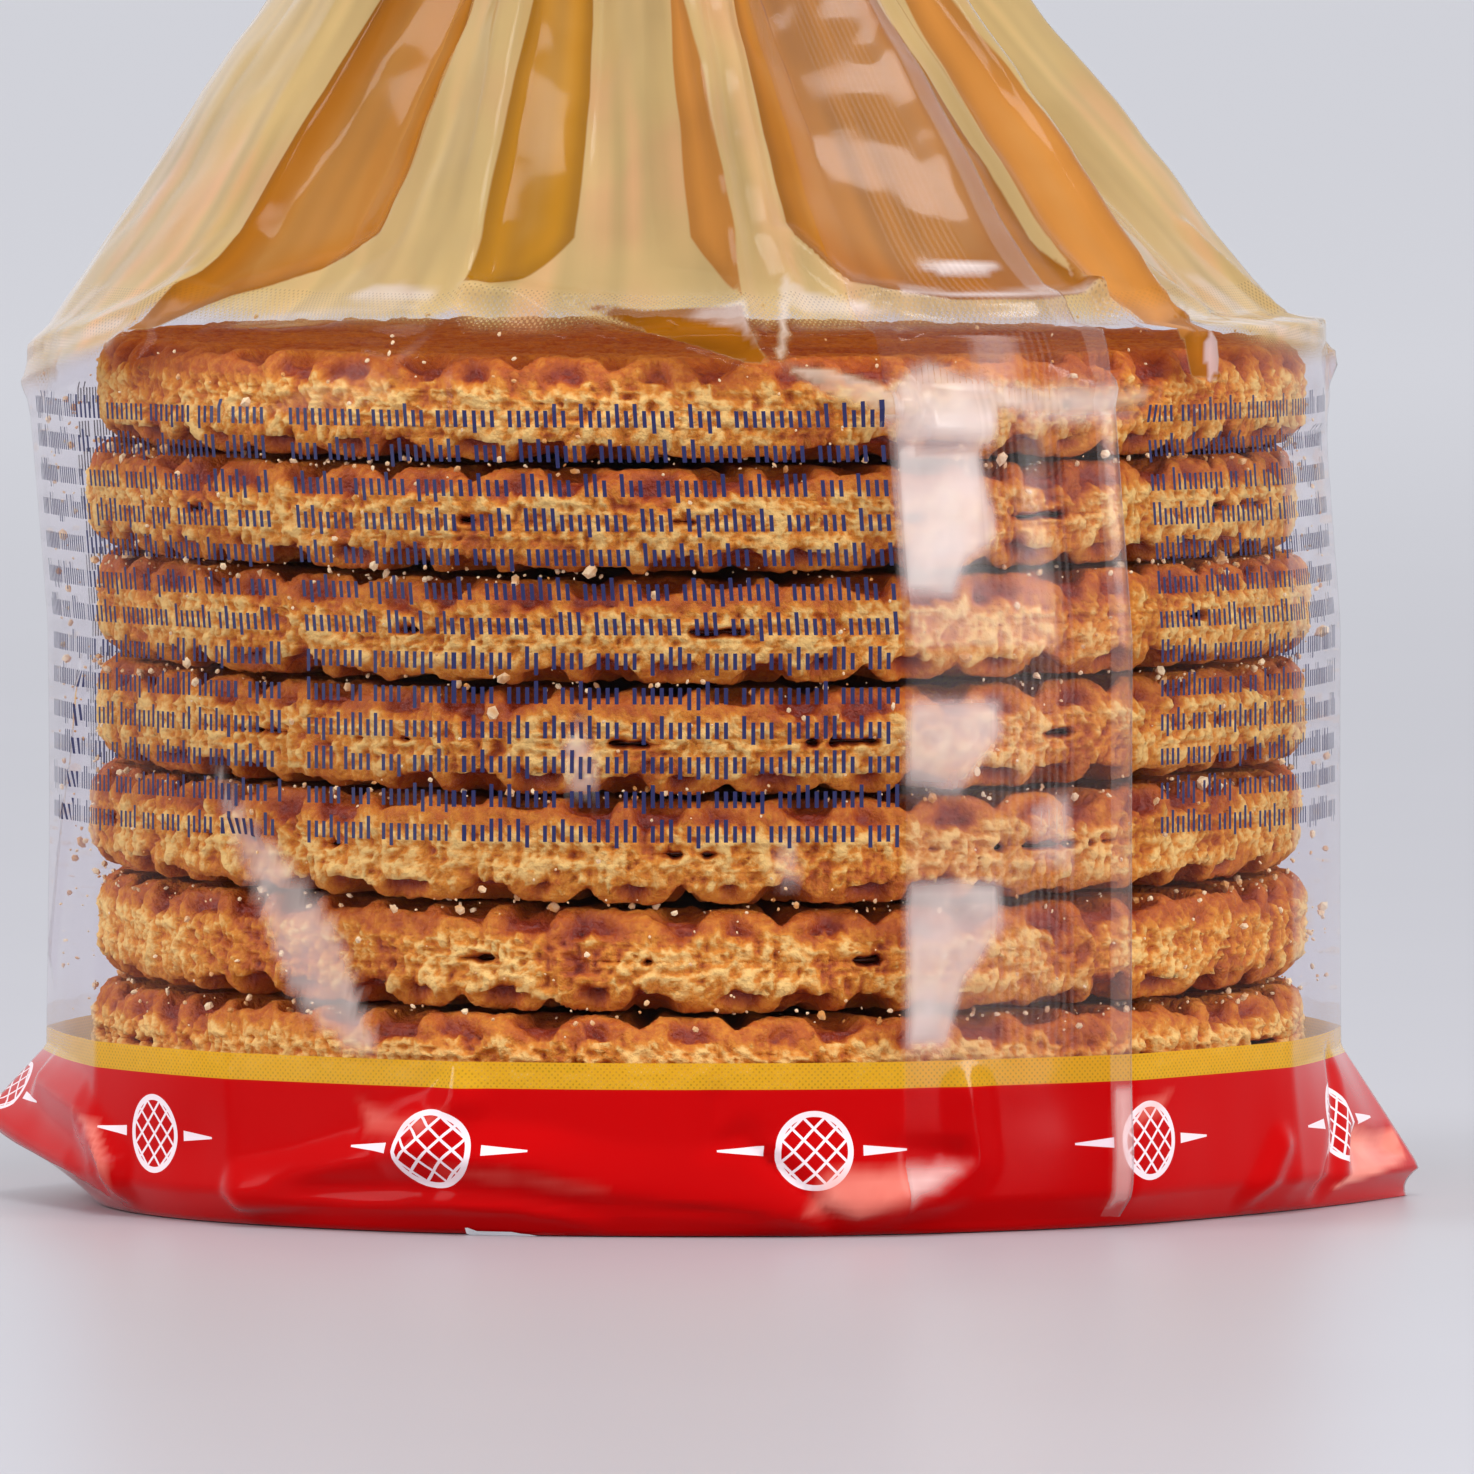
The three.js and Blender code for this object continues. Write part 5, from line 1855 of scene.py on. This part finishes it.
@dataclass(frozen=True)
class Crumbs:
    """Loose crumbs, each kind joined in one mesh.

    A crumb's size is its kind's least size and a random part, with the spread as its average.
    """

    film: Film
    stack: Stack
    finish: CrumbFinish = field(default_factory=CrumbFinish)
    in_gaps: int = 1700
    gap_reach: float = 42.0
    gap_depth: float = 2.6
    gap_heights: Point = (-0.9, 0.1)
    gap_least: float = 0.08
    on_film: int = 900
    film_heights: Point = (13, 62)
    film_gap: float = 0.75
    film_least: float = 0.07
    spread: float = 0.085
    largest: float = 0.8
    stretch: Point = (0.55, 1.15)
    knobs: Point = (0.8, 1.25)

    def lump(self) -> tuple[np.ndarray, np.ndarray]:
        """The points and faces of one plain crumb, a ball of twenty faces."""
        deselect()
        bpy.ops.mesh.primitive_ico_sphere_add(subdivisions=1, radius=1.0)
        ball = bpy.context.object
        points = np.array([vertex.co for vertex in ball.data.vertices])
        faces = np.array([face.vertices[:] for face in ball.data.polygons])
        bpy.data.objects.remove(ball)
        return points, faces

    def gap_spots(self, random: np.random.Generator) -> tuple[np.ndarray, np.ndarray]:
        """Chooses places and sizes for the crumbs between the waffles."""
        count = self.in_gaps
        gap = random.integers(1, self.stack.count, count)
        bearing = random.uniform(0, 2 * math.pi, count)
        radius = self.gap_reach - random.uniform(0.0, self.gap_depth, count)
        height = self.stack.floor + self.stack.pitch * gap + random.uniform(*self.gap_heights, count)
        places = np.stack([radius * np.sin(bearing), -radius * np.cos(bearing), height], axis=-1)
        sizes = self.gap_least + self.spread * random.exponential(1.0, count)
        return places, np.minimum(sizes, self.largest)

    def film_spots(self, random: np.random.Generator) -> tuple[np.ndarray, np.ndarray]:
        """Chooses places and sizes for the crumbs that cling to the film's inside."""
        count = self.on_film
        turn = random.uniform(-180, 180, count)
        up = random.uniform(*self.film_heights, count)
        order = np.argsort(turn)
        places = self.film.form.base(turn[order], up[order])[np.arange(count), np.arange(count)]
        inward = places * (-1, -1, 0)
        inward = inward / np.linalg.norm(inward, axis=-1, keepdims=True)
        sizes = np.minimum(self.film_least + self.spread * random.exponential(1.0, count), self.largest)
        return places + inward * (self.film_gap + sizes[:, None]), sizes

    def build(self, where: Where) -> bpy.types.Object:
        """Makes one kind of crumbs as a joined mesh and dresses it."""
        if where is Where.GAPS:
            random = np.random.default_rng(Seed.GAP_CRUMBS)
            places, sizes = self.gap_spots(random)
        else:
            random = np.random.default_rng(Seed.FILM_CRUMBS)
            places, sizes = self.film_spots(random)
        points, faces = self.lump()
        count = len(places)
        stretched = points[None] * random.uniform(*self.stretch, (count, 1, 3))
        shape = stretched * random.uniform(*self.knobs, (count, len(points), 1))
        spin = random.normal(size=(count, 4))
        spin /= np.linalg.norm(spin, axis=1, keepdims=True)
        turned = turn_points(shape, spin)
        cloud = (places[:, None] + turned * sizes[:, None, None]).reshape(-1, 3)
        all_faces = (faces[None] + len(points) * np.arange(count)[:, None, None]).reshape(-1, 3)
        return loose_faces(where.value, cloud, all_faces.tolist(), self.finish.material())


def turn_points(points: np.ndarray, spin: np.ndarray) -> np.ndarray:
    """Turns each group of points by its own unit quaternion."""
    real, axis = spin[:, None, :1], np.broadcast_to(spin[:, None, 1:], points.shape)
    cross = np.cross(axis, points)
    return points + 2 * (real * cross + np.cross(axis, cross))


# The studio


@dataclass(frozen=True)
class Lamp:
    """A soft rectangular light that faces the bag.

    Its bearing is round the bag, its distance, height, width and tallness are metres, and its power is watts.
    """

    name: str
    bearing: float
    distance: float
    height: float
    size: Point
    power: float
    colour: Triple

    def build(self, highest_aim: float) -> None:
        """Hangs the light up and turns it to the bag, at most this high."""
        angle = math.radians(self.bearing)
        place = Vector((self.distance * math.sin(angle), -self.distance * math.cos(angle), self.height))
        bpy.ops.object.light_add(type="AREA", location=place)
        light = bpy.context.object
        light.name = self.name
        light.data.shape = "RECTANGLE"
        light.data.size, light.data.size_y = self.size
        light.data.energy = self.power
        light.data.color = self.colour
        aim = Vector((0, 0, min(self.height, highest_aim))) - place
        light.rotation_euler = aim.to_track_quat("-Z", "Y").to_euler()


@dataclass(frozen=True)
class Studio:
    """A pale floor, large soft lights and the photograph's camera."""

    camera_distance: float = 1450.0
    camera_height: float = 95.0
    pitch_down: float = 2.49
    yaw_right: float = 0.118
    frame_pixels: float = 1474.0
    focal_pixels: float = 20880.0
    sensor: float = 36.0
    farthest: float = 100.0
    lamps: tuple[Lamp, ...] = (
        Lamp("key", 54, 0.8, 0.3, (0.13, 0.58), 3.0, (1.0, 0.985, 0.96)),
        Lamp("side", -66, 1.3, 0.64, (0.55, 0.8), 9.0, (0.97, 0.985, 1.0)),
        Lamp("top", 14, 0.6, 1.25, (0.8, 0.34), 7.4, (1.0, 0.985, 0.96)),
    )
    highest_aim: float = 0.05
    sky: tuple = byte_colour(216, 217, 222)
    sky_strength: float = 1.14
    floor_size: float = 60.0
    floor_grey: tuple = byte_colour(175, 174, 180)
    floor_light: tuple = byte_colour(181, 180, 186)
    floor_far: tuple = byte_colour(221, 221, 225)
    floor_fade: Point = (0.1, 2.4)
    floor_clouds: float = 9.0
    floor_roughness: float = 0.34
    floor_shine: float = 0.2

    def build_camera(self) -> None:
        """Puts the camera where the photograph was taken from."""
        bpy.ops.object.camera_add(location=(0, -self.camera_distance * MM, self.camera_height * MM))
        camera = bpy.context.object
        camera.rotation_euler = (math.radians(90 - self.pitch_down), 0, -math.radians(self.yaw_right))
        camera.data.sensor_width = self.sensor
        camera.data.lens = self.focal_pixels / self.frame_pixels * camera.data.sensor_width
        camera.data.clip_end = self.farthest
        bpy.context.scene.camera = camera

    def build_floor(self) -> bpy.types.Object:
        """Lays the floor out to the horizon."""
        deselect()
        bpy.ops.mesh.primitive_plane_add(size=self.floor_size, location=(0, 0, 0))
        floor = bpy.context.object
        floor.name = "floor"
        sketch = Sketch("floor")
        place = sketch.node("TexCoord").outputs["Object"]
        cloud = sketch.node("TexNoise", Vector=place, Scale=self.floor_clouds, Detail=4.0).outputs["Fac"]
        away = sketch.node("VectorMath", {"operation": "LENGTH"}, Vector=place).outputs["Value"]
        near = sketch.blend(cloud, self.floor_grey, self.floor_light)
        colour = sketch.blend(sketch.step(away, *self.floor_fade), near, self.floor_far)
        material = sketch.solid(
            Base_Color=colour, Roughness=self.floor_roughness, Specular_IOR_Level=self.floor_shine
        )
        floor.data.materials.append(material)
        return floor

    def build(self) -> bpy.types.Object:
        """Builds the camera, the lights and the floor, and returns the floor."""
        self.build_camera()
        for lamp in self.lamps:
            lamp.build(self.highest_aim)
        world = bpy.context.scene.world or bpy.data.worlds.new("studio")
        bpy.context.scene.world = world
        world.use_nodes = True
        background = world.node_tree.nodes["Background"]
        background.inputs["Color"].default_value = self.sky
        background.inputs["Strength"].default_value = self.sky_strength
        bpy.context.scene.view_settings.view_transform = "Standard"
        return self.build_floor()


def main() -> None:
    """Builds the bag, its contents and the studio."""
    logging.basicConfig(level=logging.INFO, format="%(name)s: %(message)s")
    film = Film()
    stack = Stack()
    crumbs = Crumbs(film, stack)
    skin = film.build()
    seam = film.build_seam()
    ticks = Ticks().build(film)
    label = Label().build(film)
    contents = stack.build()
    loose = [crumbs.build(where) for where in Where]
    slots = {"bag_film": [skin, seam, ticks, label], "waffle": [*contents, *loose]}
    for slot, pieces in slots.items():
        for piece in pieces:
            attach(piece, "root")
            LOG.info("%s: %d faces", piece.name, len(piece.data.polygons))
    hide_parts("filled_bag")
    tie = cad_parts["twist_tie"]
    tie.data.materials.clear()
    tie.data.materials.append(FoilFinish().material())
    Studio().build()


if __name__ == "__main__":
    main()
